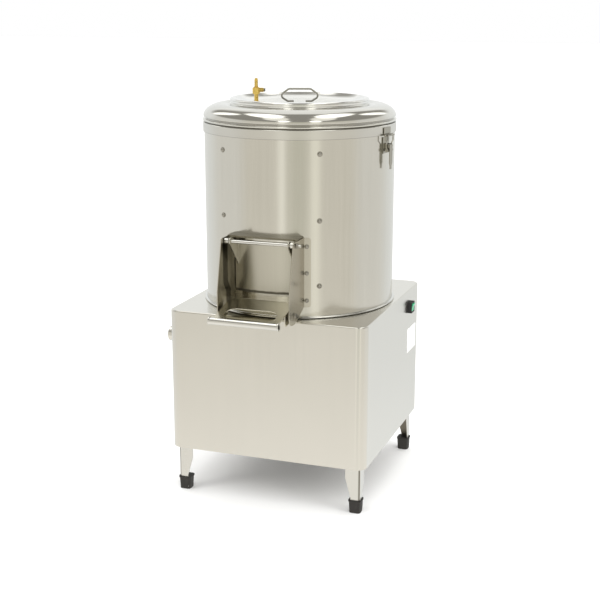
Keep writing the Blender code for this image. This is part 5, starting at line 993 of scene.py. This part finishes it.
@dataclass
class Drum:
    """The drum's sheet, its rolled foot, the lining with its clamped strips, and the bolts that show outside.

    Attributes:
        machine: the machine.
        sheet: the drum's sheet.
        bead: how far the foot's bead stands out.
        bead_height: how high it is.
        opening_half: half the width of the discharge opening.
        opening_low: the height of its lower edge.
        opening_high: the height of its upper edge.
        lining: how far the strips stand in from the drum's outside.
        strip_half: half the width of a strip.
        strip_sheet: its thickness.
        strip_corner: the radius of its corners.
        strip_angle: how far to the side the strips stand, in degrees.
        bolt_rise: the height of the lowest bolts over the cabinet's top.
        bolt_pitch: the height from one bolt to the next.
        bolt_stem: the radius of a bolt's thread.
        bolt_head: that of its domed head.
        bolt_washer: that of its washer.
        bolt_nut: that of its nut.
        stand_off: how far the bolts and the bead stay clear of the drum's sheet.
        steps: how many steps the drum's turns take.
    """

    machine: Machine
    sheet: float = 0.0015
    bead: float = 0.0058
    bead_height: float = 0.0065
    opening_half: float = 0.069
    opening_low: float = 0.5595
    opening_high: float = 0.658
    lining: float = 0.0092
    strip_half: float = 0.011
    strip_sheet: float = 0.003
    strip_corner: float = 0.004
    strip_angle: float = 31.0
    bolt_rise: float = 0.081
    bolt_pitch: float = 0.1605
    bolt_stem: float = 0.0030
    bolt_head: float = 0.0050
    bolt_washer: float = 0.0066
    bolt_nut: float = 0.0058
    stand_off: float = 0.0002
    steps: int = 180

    def skin(self) -> bpy.types.Object:
        """The rolled sheet with the discharge opening cut out of it."""
        axis = self.machine.axis
        stock = Stock()
        levels = [self.machine.foot, self.opening_low, self.opening_high, self.machine.rim]
        stock.turned([(self.machine.radius, level) for level in levels], axis, steps=self.steps, closed=False)
        for side in (-1, 1):
            front = [face for face in stock.mesh.faces if face.calc_center_median().y < axis.y]
            region = front + list({edge for face in front for edge in face.edges})
            region += list({point for face in front for point in face.verts})
            cut = axis + Vector((side * self.opening_half, 0, 0))
            bmesh.ops.bisect_plane(stock.mesh, geom=region, plane_co=cut, plane_no=(1, 0, 0), dist=5 * WELD)
        gone = [face for face in stock.mesh.faces if self.in_opening(face.calc_center_median())]
        bmesh.ops.delete(stock.mesh, geom=gone, context="FACES")
        bmesh.ops.recalc_face_normals(stock.mesh, faces=stock.mesh.faces)
        if sum(face.normal.dot(face.calc_center_median() - axis) for face in stock.mesh.faces) < 0:
            bmesh.ops.reverse_faces(stock.mesh, faces=stock.mesh.faces)
        bmesh.ops.solidify(stock.mesh, geom=stock.mesh.faces, thickness=self.sheet)
        return stock.kept("drum_skin", "machine", DRUM_STEEL, ["drum"])

    def in_opening(self, middle: Vector) -> bool:
        """Whether a face's middle lies in the discharge opening."""
        across = abs(middle.x - self.machine.axis.x)
        return (across < self.opening_half and middle.y < self.machine.axis.y
                and self.opening_low < middle.z < self.opening_high)

    def foot_bead(self) -> bpy.types.Object:
        """The rolled bead that closes the drum's foot on the cabinet's top."""
        base, wall, half = self.machine.foot, self.machine.radius, self.bead_height * 0.42
        profile = [(wall + (radius - wall) * self.bead / half, height)
                   for radius, height in arc((wall, base + half), half, -90, 90, 10)]
        profile += [(wall + GAP, base + self.bead_height), (wall + self.stand_off, base)]
        return Stock().turned(profile, self.machine.axis, steps=self.steps).kept("drum_bead", "machine", BRIGHT_STEEL)

    def build(self) -> None:
        """Makes the drum's pieces."""
        self.skin()
        self.foot_bead()
        refined("abrasive_liner", CARBORUNDUM)
        for end in ENDS:
            for side in SIDES:
                self.clamp_strip(end, side)

    def clamp_strip(self, end: str, side: str) -> bpy.types.Object:
        """A flat strip inside the lining, held by three domed bolts whose heads show on the drum.

        Args:
            end: front or rear.
            side: left or right.

        Returns:
            The piece.
        """
        node = f"clamp_strip_{end}_{side}"
        angle = self.strip_angle if (end == "front") == (side == "right") else -self.strip_angle
        if end == "rear":
            angle += 180.0
        low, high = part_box(node)
        outline = rounded_box((-self.strip_half, low.z), (self.strip_half, high.z), self.strip_corner, 4)
        stock = Stock()
        stock.plate([(x, self.lining - self.machine.radius, z) for x, z in outline], (0, -self.strip_sheet, 0))
        for index in range(3):
            height = self.machine.top + self.bolt_rise + index * self.bolt_pitch
            stock.turned(self.bolt_profile(), (0, 0, height), Turn.Y, 28)
        stock.moved(self.machine.round_axis(angle))
        return stock.kept(f"clamped_strip_{end}_{side}", "machine", BOLT_STEEL, [node], 40)

    def bolt_profile(self) -> list[tuple[float, float]]:
        """A domed bolt with its washer outside the drum and its nut inside."""
        stem, washer, out = self.bolt_stem, self.bolt_washer, -self.machine.radius - self.stand_off
        nut = self.lining - self.machine.radius + GAP
        head = arc((0.0, out - 0.0010), self.bolt_head, 0, -90, 8, 0.80)
        return [(0.0, nut + 0.0065), (stem - 0.0004, nut + 0.0065), (stem, nut + 0.0060), (stem, nut + 0.0042),
                (self.bolt_nut - 0.0002, nut + 0.0040), (self.bolt_nut, nut), (stem, nut - 0.0001), (stem, out),
                (washer - 0.0002, out), (washer, out - 0.0004), (washer - 0.0002, out - 0.0008),
                (self.bolt_head + 0.0001, out - 0.0010)] + head[1:]


@dataclass
class CoverRing:
    """The pressed ring on the drum's rim: skirt, notch, rolled bead, groove, high dome and the ledge for the lid.

    Attributes:
        machine: the machine.
        skirt: the skirt's radius.
        drop: how far below the rim it hangs.
        sheet: the sheet's thickness.
        notch: how deep the notch over the skirt is.
        notch_span: the heights over the rim between which it lies.
        groove: how deep the groove under the dome is.
        groove_span: the heights over the rim between which it lies.
        bead: the bead's radius and its height over the rim.
        core: how far in the sheet's inner side runs behind notch, bead and groove.
        dome_foot: the height over the rim from which the dome rises.
        dome_centre: the radius at which it is highest.
        dome_width: how far it reaches outwards from there.
        dome_height: how high it rises.
        shoulder: the radius at which the ledge begins.
        ledge_radius: the radius of the mouth.
        steps: how many steps the spin takes.
    """

    machine: Machine
    skirt: float = 0.2455
    drop: float = 0.0210
    sheet: float = 0.0015
    notch: float = 0.0045
    notch_span: Point = (0.0026, 0.0052)
    groove: float = 0.0065
    groove_span: Point = (0.0112, 0.0142)
    bead: Point = (0.0026, 0.0080)
    core: float = 0.0105
    dome_foot: float = 0.017
    dome_centre: float = 0.195
    dome_width: float = 0.0495
    dome_height: float = 0.030
    shoulder: float = 0.1785
    ledge_radius: float = 0.165
    steps: int = 192

    def build(self) -> None:
        """Makes the ring in one spin."""
        rim, ledge, edge, sheet = self.machine.rim, self.machine.ledge, self.skirt, self.sheet
        bend, mouth, crest = self.shoulder, self.ledge_radius, (self.dome_centre, rim + self.dome_foot)
        low, high = (rim + height for height in self.notch_span)
        outer = [(edge, rim - self.drop), (edge, low - 0.0014), (edge - 0.0008, low - 0.0004),
                 (edge - self.notch, low), (edge - self.notch, high)]
        outer += arc((edge - 0.0018, rim + self.bead[1]), self.bead[0], -90, 90, 10)
        low, high = (rim + height for height in self.groove_span)
        outer += [(edge - self.groove, low), (edge - self.groove, high), (edge - 0.0030, high + 0.0008),
                  (edge - 0.0014, high + 0.0018)]
        outer += arc(crest, self.dome_width, 0, 90, 28, self.dome_height / self.dome_width)
        outer += [(bend + 0.0087, ledge + 0.0028), (bend + 0.0045, ledge + 0.0012), (bend + 0.0010, ledge + 0.0002),
                  (bend, ledge)]
        outer += [(mouth + 0.0016, ledge), (mouth, ledge - sheet), (mouth, ledge - 4 * sheet),
                  (mouth + sheet, ledge - 4 * sheet)]
        inner = [(mouth + sheet, ledge - 0.0018), (bend + 0.0010, ledge - 0.0016)]
        wide, rise = self.dome_width - sheet, self.dome_height - sheet
        inner += arc(crest, wide, 90, 0, 20, rise / wide)
        inner += [(edge - self.core, rim + 0.0152), (edge - self.core, rim + 0.0040), (edge - sheet, rim + 0.0002),
                  (edge - sheet, rim - self.drop)]
        stock = Stock().turned(outer + inner, self.machine.axis, steps=self.steps)
        stock.kept("cover_ring_skin", "machine", RING_STEEL, ["cover_ring"], 32)


@dataclass
class Lid:
    """The dished lid with its strap handle, the brass water inlet, its flow screw and the spray below.

    Attributes:
        machine: the machine.
        radius: the lid's radius.
        sheet: its sheet's thickness.
        wall: the height of its upright rim, below the roll.
        roll_width: how wide the roll on the rim is.
        roll_height: how high it is.
        dish: how deep the lid's floor lies below the roll.
        flat: the radius of its flat middle.
        spigot: the radius of the collar below.
        handle_width: how wide the handle's strap is.
        handle_sheet: how thick it is.
        bends: the radii of its bends, from its foot to its top.
        dots: how far its weld dots stand from its middle, along it and across.
        dot: a dot's radius below, its radius above and its height.
        turn: how far the handle is turned from the machine's width, in degrees.
        inlet_place: how far along the handle's line the inlet stands.
        inlet_seat: how high its collar sits over the lid's lowest edge.
        inlet_rise: how high its hexagon stands over that seat.
        bore: the radius of its bore.
        nipple: that of the pipe through the lid.
        collar: that of the collar on the lid.
        thread: that of the neck's thread, at its root and at its crest.
        threads: how many turns show.
        shank: the radius of the body that carries the hexagon.
        rib: that of the hose tail's ribs.
        ribs: how many there are.
        hexagon: the hexagon's outer radius and its height.
        stub: the flow screw's stub: its radius, where it starts and where it ends.
        steps: how many steps the lid's spin takes.
    """

    machine: Machine
    radius: float = 0.177
    sheet: float = 0.0020
    wall: float = 0.0130
    roll_width: float = 0.0090
    roll_height: float = 0.0045
    dish: float = 0.0150
    flat: float = 0.1200
    spigot: float = 0.1605
    handle_width: float = 0.0190
    handle_sheet: float = 0.0042
    bends: Point = (0.0035, 0.0100, 0.0120)
    dots: Point = (0.0215, 0.0045)
    dot: Point = (0.0021, 0.0012, 0.0008)
    turn: float = 19.65
    inlet_place: float = -0.110
    inlet_seat: float = 0.0150
    inlet_rise: float = 0.0330
    bore: float = 0.0025
    nipple: float = 0.0050
    collar: float = 0.0085
    thread: Point = (0.0052, 0.0057)
    threads: int = 5
    shank: float = 0.0079
    rib: float = 0.0052
    ribs: int = 4
    hexagon: Point = (0.0098, 0.0150)
    stub: Point = (0.0055, 0.0070, 0.0188)
    steps: int = 180

    def cover(self) -> bpy.types.Object:
        """The pressed lid in one spin, from its centre over the rolled rim to the spigot below."""
        edge, flat, spigot = self.radius, self.flat, self.spigot
        foot = self.machine.ledge + GAP
        brim = foot + self.wall
        top = brim + self.roll_height
        floor = top - self.dish
        outer = [(edge, foot), (edge, foot + 0.0046), (edge - 0.0005, foot + 0.0052), (edge - 0.0018, foot + 0.0060),
                 (edge - 0.0005, foot + 0.0067), (edge, foot + 0.0073), (edge, brim - 0.0018),
                 (edge - 0.0014, brim - 0.0011)]
        outer += arc((edge - self.roll_width, brim), self.roll_width, 0, 90, 12, self.roll_height / self.roll_width)
        outer += arc((edge - 0.0125, top - 0.0030), 0.0030, 90, 120, 3)
        outer += [(flat + 0.0360, top - 0.0052), (flat + 0.0270, floor + 0.0042), (flat + 0.0200, floor + 0.0022),
                  (flat + 0.0110, floor + 0.0007), (flat, floor), (flat / 2, floor), (0.0, floor)]
        lower = [(0.0, floor - self.sheet), (flat, floor - self.sheet), (spigot - self.sheet, foot),
                 (spigot - 0.0060, foot - 0.0140), (spigot - 0.0040, foot - 0.0140), (spigot, foot)]
        stock = Stock().turned(outer + lower, self.machine.axis, steps=self.steps, closed=False)
        bmesh.ops.holes_fill(stock.mesh, edges=[edge for edge in stock.mesh.edges if edge.is_boundary])
        edges = [edge for edge in stock.mesh.edges if edge.is_boundary]
        if edges:
            bmesh.ops.bridge_loops(stock.mesh, edges=edges)
        return stock.kept("lid_skin", "lid", LID_STEEL, ["lid"], 32)

    def along(self) -> Matrix:
        """From the handle's own frame, with X along it, to the machine's."""
        return self.machine.round_axis(self.turn)

    def handle(self) -> bpy.types.Object:
        """The bent strap: a thin sheet extruded along its bends, thickened and rounded, with its weld dots."""
        low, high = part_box("lid_handle")
        foot, top = low.z + self.handle_sheet / 2, high.z - self.handle_sheet / 2
        corners = [(-0.0150, foot), (-0.0310, foot), (-0.0554, low.z + 0.0176), (-0.0285, top), (0.0, top)]
        path = rounded_path(corners, self.bends)
        path += [(-x, z) for x, z in reversed(path[:-1])]
        stock = Stock()
        points = [stock.mesh.verts.new((x, -self.handle_width / 2, z)) for x, z in path]
        edges = [stock.mesh.edges.new(pair) for pair in zip(points, points[1:])]
        grown = bmesh.ops.extrude_edge_only(stock.mesh, edges=edges)
        moved = [one for one in grown["geom"] if isinstance(one, bmesh.types.BMVert)]
        bmesh.ops.translate(stock.mesh, verts=moved, vec=(0, self.handle_width, 0))
        bmesh.ops.recalc_face_normals(stock.mesh, faces=stock.mesh.faces)
        bmesh.ops.solidify(stock.mesh, geom=stock.mesh.faces, thickness=self.handle_sheet)
        stock.bevelled(0.0007, 3, 50)
        base = foot + self.handle_sheet / 2 - 0.0003
        radius, tip, height = self.dot
        for along in (-self.dots[0], self.dots[0]):
            for across in (-self.dots[1], self.dots[1]):
                stock.rod(radius, (along, across, base), (along, across, base + height), 16, tip)
        return stock.moved(self.along()).kept("handle_strap", "lid", HANDLE_STEEL, ["lid_handle"], 40)

    def inlet_profile(self, seat: float, middle: float) -> list[tuple[float, float]]:
        """The bored inlet's turned shape: nipple, collar, threaded neck, body and ribbed hose tail.

        Args:
            seat: the height at which the collar sits.
            middle: the height of the hexagon.

        Returns:
            Its points, each a radius and a height.
        """
        low, high = (corner.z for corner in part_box("inlet_valve"))
        collar, shank, rib, (root, crest) = self.collar, self.shank, self.rib, self.thread
        tail = middle + 0.0085
        pitch = (high - tail) / (self.ribs + 0.6)
        points = [(self.bore, low), (self.nipple, low), (self.nipple, seat), (collar - 0.0002, seat + 0.0001),
                  (collar, seat + 0.0008), (collar, seat + 0.0026), (collar - 0.0005, seat + 0.0030),
                  (crest - 0.0003, seat + 0.0031)]
        for step in range(self.threads):
            start = seat + 0.0050 + step * 0.0024
            points += [(root, start), (crest, start + 0.0008), (crest, start + 0.0014), (root, start + 0.0020)]
        points += [(self.nipple, middle - 0.0100), (shank - 0.0005, middle - 0.0098), (shank, middle - 0.0090),
                   (shank, middle + 0.0066), (shank - 0.0005, middle + 0.0074), (crest - 0.0001, middle + 0.0078)]
        for step in range(self.ribs):
            start = tail + pitch * step
            points += [(rib - 0.0010, start), (rib, start + 0.0006), (rib - 0.0002, start + 0.0012),
                       (rib - 0.0011, start + pitch - 0.0004)]
        return points + [(rib - 0.0012, high - 0.0020), (rib - 0.0016, high), (self.bore, high)]

    def inlet(self) -> bpy.types.Object:
        """The brass inlet: its turned shape, the hexagon round its middle and the stub for the flow screw."""
        way = self.along().to_3x3() @ Vector((1, 0, 0))
        base = self.machine.axis + way * self.inlet_place
        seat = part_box("lid")[0].z + self.inlet_seat
        middle = seat + self.inlet_rise
        stock = Stock().turned(self.inlet_profile(seat, middle), base, steps=48)
        radius, height = self.hexagon
        body = Stock()
        bmesh.ops.create_cone(body.mesh, cap_ends=True, segments=6, radius1=radius, radius2=radius, depth=height,
                              matrix=Matrix.Translation(base + Vector((0, 0, middle - 0.0012))))
        stock.with_copy_of(body.bevelled(0.0007, 2, 20))
        low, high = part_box("flow_screw")
        level = base + Vector((0, 0, (low.z + high.z) / 2))
        radius, start, end = self.stub
        stock.rod(radius, level + way * start, level + way * end, 32)
        return stock.kept("brass_inlet", "lid", VALVE_BRASS, ["inlet_valve"], 30)

    def build(self) -> None:
        """Makes the lid's pieces."""
        self.cover()
        self.handle()
        self.inlet()
        refined("flow_screw", BOLT_STEEL, rounding=0.0003)
        refined("spray_nozzle", VALVE_BRASS, FINE_EDGE)


@dataclass
class Chute:
    """The discharge side: folded side plates, hood, sill, door, gasket, hinge rod and the locking lever.

    Attributes:
        machine: the machine.
        flange: the thickness of the side plates' flanges on the drum, with their gap.
        bolt_angle: how far to the side the flanges' bolts stand, in degrees.
        bolt_heights: how high they stand over the cabinet's top.
        bolt_head: the radius of their domed heads.
        bolt_washer: that of their washers.
        tube: the outer radius of the grip's tube.
        bore: its inner radius.
    """

    machine: Machine
    flange: float = 0.0022
    bolt_angle: float = 23.6
    bolt_heights: tuple[float, float, float] = (0.180, 0.114, 0.046)
    bolt_head: float = 0.0047
    bolt_washer: float = 0.0060
    tube: float = 0.0088
    bore: float = 0.0066

    def flange_bolts(self, side: int) -> bpy.types.Object:
        """Three small domed bolts through a side plate's flange.

        Args:
            side: -1 for the left plate and 1 for the right.

        Returns:
            The piece.
        """
        face, washer = -self.machine.radius - self.flange, self.bolt_washer
        profile = [(0.0, face + 0.0010), (washer - 0.0001, face + 0.0010), (washer, face - 0.0003),
                   (washer - 0.0002, face - 0.0008)]
        profile += arc((0.0, face - 0.0009), self.bolt_head, 0, -90, 8, 0.85)
        stock = Stock()
        for rise in self.bolt_heights:
            stock.turned(profile, (0, 0, self.machine.top + rise), Turn.Y, 26)
        stock.moved(self.machine.round_axis(side * self.bolt_angle))
        name = "right" if side > 0 else "left"
        return stock.kept(f"flange_bolts_{name}", "machine", BOLT_STEEL, sharp=40)

    def grip(self) -> bpy.types.Object:
        """The rolled tube across the lever's front, with a flared rim at each end."""
        low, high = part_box("lever_grip")
        half, rim = (high.x - low.x) / 2, (high.z - low.z) / 2
        side = [(self.tube, half - 0.0042), (rim - 0.0006, half - 0.0034), (rim, half - 0.0026),
                (rim, half - 0.0008), (rim - 0.0008, half), (self.bore + 0.0010, half), (self.bore, half - 0.0010)]
        profile = side + [(radius, -along) for radius, along in reversed(side)]
        stock = Stock().turned(profile, (low + high) / 2, Turn.X, 48)
        return stock.kept("grip_tube", "lock_lever", BRIGHT_STEEL, ["lever_grip"])

    def build(self) -> None:
        """Makes the chute's pieces."""
        for side in SIDES:
            refined(f"chute_side_{side}", PLATE_STEEL, SHEET_EDGE)
            refined(f"hinge_nut_{side}", BOLT_STEEL, FINE_EDGE)
            refined(f"pivot_bolt_{side}", BOLT_STEEL, SHEET_EDGE)
        # The hood's sheet is darkened with painted shade.
        refined("chute_hood", SHADED_HOOD_STEEL, FINE_EDGE)
        refined("chute_sill", SHELF_STEEL, FINE_EDGE)
        refined("hinge_rod", BRIGHT_STEEL, FINE_EDGE)
        refined("discharge_door", DOOR_STEEL, FINE_EDGE)
        refined("door_gasket", SEAL_RUBBER, FINE_EDGE)
        refined("lock_lever", SHELF_STEEL, SHEET_EDGE)
        self.flange_bolts(1)
        self.flange_bolts(-1)
        self.grip()


@dataclass
class Latch:
    """One toggle latch: strike, base plate, lever and wire bail."""

    side: str

    def build(self) -> None:
        """Makes the latch's pieces."""
        for piece in ("strike", "latch_base", "latch_lever"):
            refined(f"{piece}_{self.side}", LATCH_STEEL, FINE_EDGE)
        refined(f"latch_bail_{self.side}", LATCH_STEEL)


@dataclass
class Switch:
    """The rocker switch in its black surround."""

    def build(self) -> None:
        """Makes the switch's pieces."""
        refined("switch_bezel", BLACK_PLASTIC, rounding=0.0007, segments=3)
        refined("switch_rocker", GREEN_PLASTIC, FINE_EDGE, segments=3)


@dataclass
class Drive:
    """What turns the disc: shaft, bearings, pulleys, belt and motor, all below the drum."""

    finishes: dict[str, Finish] = field(default_factory=lambda: {
        "bearing_housing": GREY_IRON, "driven_pulley": GREY_IRON, "motor_pulley": GREY_IRON,
        "upper_bearing": BRIGHT_STEEL, "lower_bearing": BRIGHT_STEEL, "drive_shaft": BOLT_STEEL,
        "motor_shaft": BOLT_STEEL, "disc_nut": BOLT_STEEL, "shaft_seal": SEAL_RUBBER, "v_belt": BELT_RUBBER,
        "motor_body": MOTOR_ENAMEL, "motor_bracket": PANEL_STEEL, "peeling_disc": CARBORUNDUM,
    })

    def build(self) -> None:
        """Gives each piece of the drive its finish."""
        for node, finish in self.finishes.items():
            refined(node, finish)


# Studio


@dataclass(frozen=True)
class Strip:
    """One upright band of the mirrored room: the turn of its middle, half its width, its soft edge and its colour."""

    middle: float
    half: float
    soft: float
    colour: Point


@dataclass(frozen=True)
class SoftBox:
    """One soft oval overhead, with its twin across the camera's line: middle and half size, across and deep."""

    middle: Point
    half: Point
    colour: Point


@dataclass(frozen=True)
class Lamp:
    """One lamp: where it hangs from the drum's axis, its width and height, its power and its colour."""

    name: str
    place: Point
    size: Point
    watts: float
    colour: Point


STRIPS = (
    Strip(0.31, 0.20, 0.16, (0.66, 0.645, 0.555)),
    Strip(-0.03, 0.075, 0.03, (1.04, 1.02, 0.93)),
    Strip(0.66, 0.095, 0.05, (1.0, 0.98, 0.87)),
)
SOFT_BOXES = (
    SoftBox((0.35, -0.40), (0.20, 0.30), (1.10, 1.08, 1.00)),
    SoftBox((0.32, 0.12), (0.17, 0.40), (2.0, 1.98, 1.90)),
    SoftBox((0.57, 0.55), (0.12, 0.19), (1.7, 1.7, 1.64)),
    SoftBox((0.29, -0.80), (0.12, 0.12), (1.9, 1.88, 1.80)),
)
LAMPS = (
    Lamp("left_box", (-2.6, -2.4, 2.2), (0.8, 2.0), 26.0, (1.0, 1.0, 0.98)),
    Lamp("right_box", (2.9, -0.9, 2.0), (1.0, 2.0), 22.0, (1.0, 1.0, 0.98)),
    Lamp("top_box", (0.2, 0.4, 3.4), (2.2, 2.2), 30.0, (1.0, 1.0, 0.99)),
)


@dataclass
class Studio:
    """The pale floor, the soft lamps, the surroundings that the steel mirrors, and the camera.

    Attributes:
        machine: the machine.
        focal: the camera's focal length, in pixels.
        picture: the picture's width, in pixels.
        film: the width of the camera's sensor, in millimetres.
        place: where the camera stands from the drum's axis.
        yaw: its turn about the vertical.
        pitch: how far it looks down.
        aim: what the lamps point at.
        paper: half the floor's width.
        sight: how far the camera sees.
        shades: the floor's two shades.
        near: the mirrored room's colour round the camera.
        aside: its colour off to the sides.
        ground: the mirrored floor's colour.
        sweep: the colours of the paper behind the object: where it lies, where it bends up and where it stands.
        roof: the mirrored ceiling's colour.
        roof_edge: its colour where the paper ends.
        roof_back: its colour at the far back.
    """

    machine: Machine
    focal: float = 1196.1
    picture: float = 600.0
    film: float = 36.0
    place: Point = (1.0312, -2.8864, 1.249)
    yaw: float = 0.3429
    pitch: float = 0.2490
    aim: Point = (0.0, 0.0, 0.6)
    paper: float = 30.0
    sight: float = 60.0
    shades: tuple[Point, Point] = ((0.965, 0.965, 0.962), (0.98, 0.98, 0.978))
    near: Point = (0.75, 0.72, 0.645)
    aside: Point = (0.80, 0.79, 0.75)
    ground: Point = (1.05, 1.02, 0.955)
    sweep: tuple[Point, Point, Point] = ((0.94, 0.955, 0.945), (0.86, 0.875, 0.865), (0.93, 0.945, 0.935))
    roof: Point = (0.33, 0.32, 0.29)
    roof_edge: Point = (1.0, 1.0, 0.97)
    roof_back: Point = (1.06, 1.06, 1.04)

    def camera(self) -> None:
        """The camera at the photograph's viewing angle."""
        data = bpy.data.cameras.new("view")
        data.sensor_width = self.film
        data.lens = self.focal / self.picture * self.film
        data.clip_end = self.sight
        seat = bpy.data.objects.new("view", data)
        seat.location = self.machine.axis + Vector(self.place)
        seat.rotation_euler = (math.pi / 2 - self.pitch, 0, self.yaw)
        bpy.context.scene.collection.objects.link(seat)
        bpy.context.scene.camera = seat

    def floor(self) -> None:
        """A plain pale floor that the camera and the mirrors see as white, and that keeps the shadow."""
        stock = Stock()
        bmesh.ops.create_grid(stock.mesh, x_segments=8, y_segments=8, size=self.paper)
        data = bpy.data.meshes.new("floor")
        stock.mesh.to_mesh(data)
        stock.mesh.free()
        floor = bpy.data.objects.new("floor", data)
        bpy.context.scene.collection.objects.link(floor)
        floor.visible_glossy = False
        made = bpy.data.materials.new("floor_paper")
        made.use_nodes = True
        bench = Bench(made.node_tree)
        fleck = bench.noise((3.0, 3.0, 3.0), 3.0, 0.5)
        colour = bench.mix(fleck.smooth(0.3, 0.7), *self.shades)
        paper = bench.add("ShaderNodeBsdfPrincipled", inputs={"Base Color": colour, "Roughness": 0.9}, out="BSDF")
        bench.add("ShaderNodeOutputMaterial", inputs={"Surface": paper})
        data.materials.append(made)

    def walls(self, bench: Bench, rise: Wire, turn: Wire, side: Wire) -> Wire:
        """The grey room behind the camera with its bands, its pale floor, and the sweep of paper at the back.

        Args:
            bench: the world's nodes.
            rise: how far a direction points up.
            turn: its turn about the vertical, from the front.
            side: how far it turns from the camera.

        Returns:
            The colour.
        """
        room = bench.mix(side.smooth(1.05, 1.45), self.near, self.aside)
        for strip in STRIPS:
            low, high = strip.half - strip.soft, strip.half + strip.soft
            room = bench.mix(abs(turn - strip.middle).smooth(low, high, 1.0, 0.0), room, strip.colour)
        room = bench.mix(rise.smooth(-0.385, -0.245, 1.0, 0.0), room, self.ground)
        lying, bending, standing = self.sweep
        sweep = bench.mix(rise.smooth(-0.36, -0.28), lying, bending)
        sweep = bench.mix(rise.smooth(-0.06, 0.06), sweep, standing)
        return bench.mix(side.smooth(1.9, 2.4), room, sweep)

    def ceiling(self, bench: Bench, way: Wire, side: Wire) -> Wire:
        """The dark ceiling with its soft boxes, and the paper's bright top behind the object.

        Args:
            bench: the world's nodes.
            way: a direction.
            side: how far it turns from the camera.

        Returns:
            The colour.
        """
        x, y, cosine, sine = bench.axis("X", way), bench.axis("Y", way), math.cos(self.yaw), math.sin(self.yaw)
        across, deep = abs(x * cosine + y * sine), y * cosine - x * sine
        behind = deep.smooth(0.34, 0.50) * side.smooth(2.70, 2.92)
        colour = bench.mix(behind, self.roof, self.roof_edge)
        colour = bench.mix(deep.smooth(0.82, 0.90), colour, self.roof_back)
        for box in SOFT_BOXES:
            wide, long = (across - box.middle[0]) / box.half[0], (deep - box.middle[1]) / box.half[1]
            colour = bench.mix((wide * wide + long * long).smooth(0.65, 1.20, 1.0, 0.0), colour, box.colour)
        return colour

    def surroundings(self) -> None:
        """What the steel mirrors: the room, and the ceiling over it. Everything matt sees plain white."""
        world = bpy.data.worlds.new("studio")
        bpy.context.scene.world = world
        world.use_nodes = True
        bench = Bench(world.node_tree)
        way = bench.add("ShaderNodeTexCoord", out="Generated")
        rise = bench.axis("Z", way)
        turn = bench.axis("X", way).math("ARCTAN2", bench.axis("Y", way) * -1.0)
        side = abs(turn - self.yaw)
        room = bench.mix(rise.smooth(0.28, 0.46), self.walls(bench, rise, turn, side), self.ceiling(bench, way, side))
        camera = bench.add("ShaderNodeLightPath", out="Is Camera Ray")
        matt = bench.add("ShaderNodeLightPath", out="Is Diffuse Ray")
        seen = bench.mix((camera + matt).clamped(), room, (1.0, 1.0, 1.0))
        shine = {"Color": seen, "Strength": matt * 0.30 + 1.0}
        sky = bench.add("ShaderNodeBackground", inputs=shine, out="Background")
        bench.add("ShaderNodeOutputWorld", inputs={"Surface": sky})

    def hang(self, lamp: Lamp) -> None:
        """Adds a lamp that lights the matt surfaces and that no mirror shows."""
        data = bpy.data.lights.new(lamp.name, "AREA")
        data.shape = "RECTANGLE"
        data.size, data.size_y = lamp.size
        data.energy = lamp.watts
        data.color = lamp.colour
        made = bpy.data.objects.new(lamp.name, data)
        made.location = self.machine.axis + Vector(lamp.place)
        made.visible_glossy = False
        made.rotation_euler = (Vector(self.aim) - Vector(lamp.place)).to_track_quat("-Z", "Y").to_euler()
        bpy.context.scene.collection.objects.link(made)

    def build(self) -> None:
        """Sets the studio up."""
        self.camera()
        self.floor()
        self.surroundings()
        for lamp in LAMPS:
            self.hang(lamp)
        bpy.context.scene.view_settings.view_transform = "Standard"


def main() -> None:
    """Builds the sub-assemblies in order, then the studio, and reports."""
    logging.basicConfig(level=logging.INFO, format="%(name)s: %(message)s")
    machine = Machine()
    assemblies: list[Any] = [Cabinet(machine), Drum(machine), CoverRing(machine), Lid(machine), Chute(machine),
                             Latch("right"), Latch("left"), Switch(), Drive(), Studio(machine)]
    for assembly in assemblies:
        assembly.build()
        REPORT.info("%s is built", type(assembly).__name__)


if __name__ == "__main__":
    main()
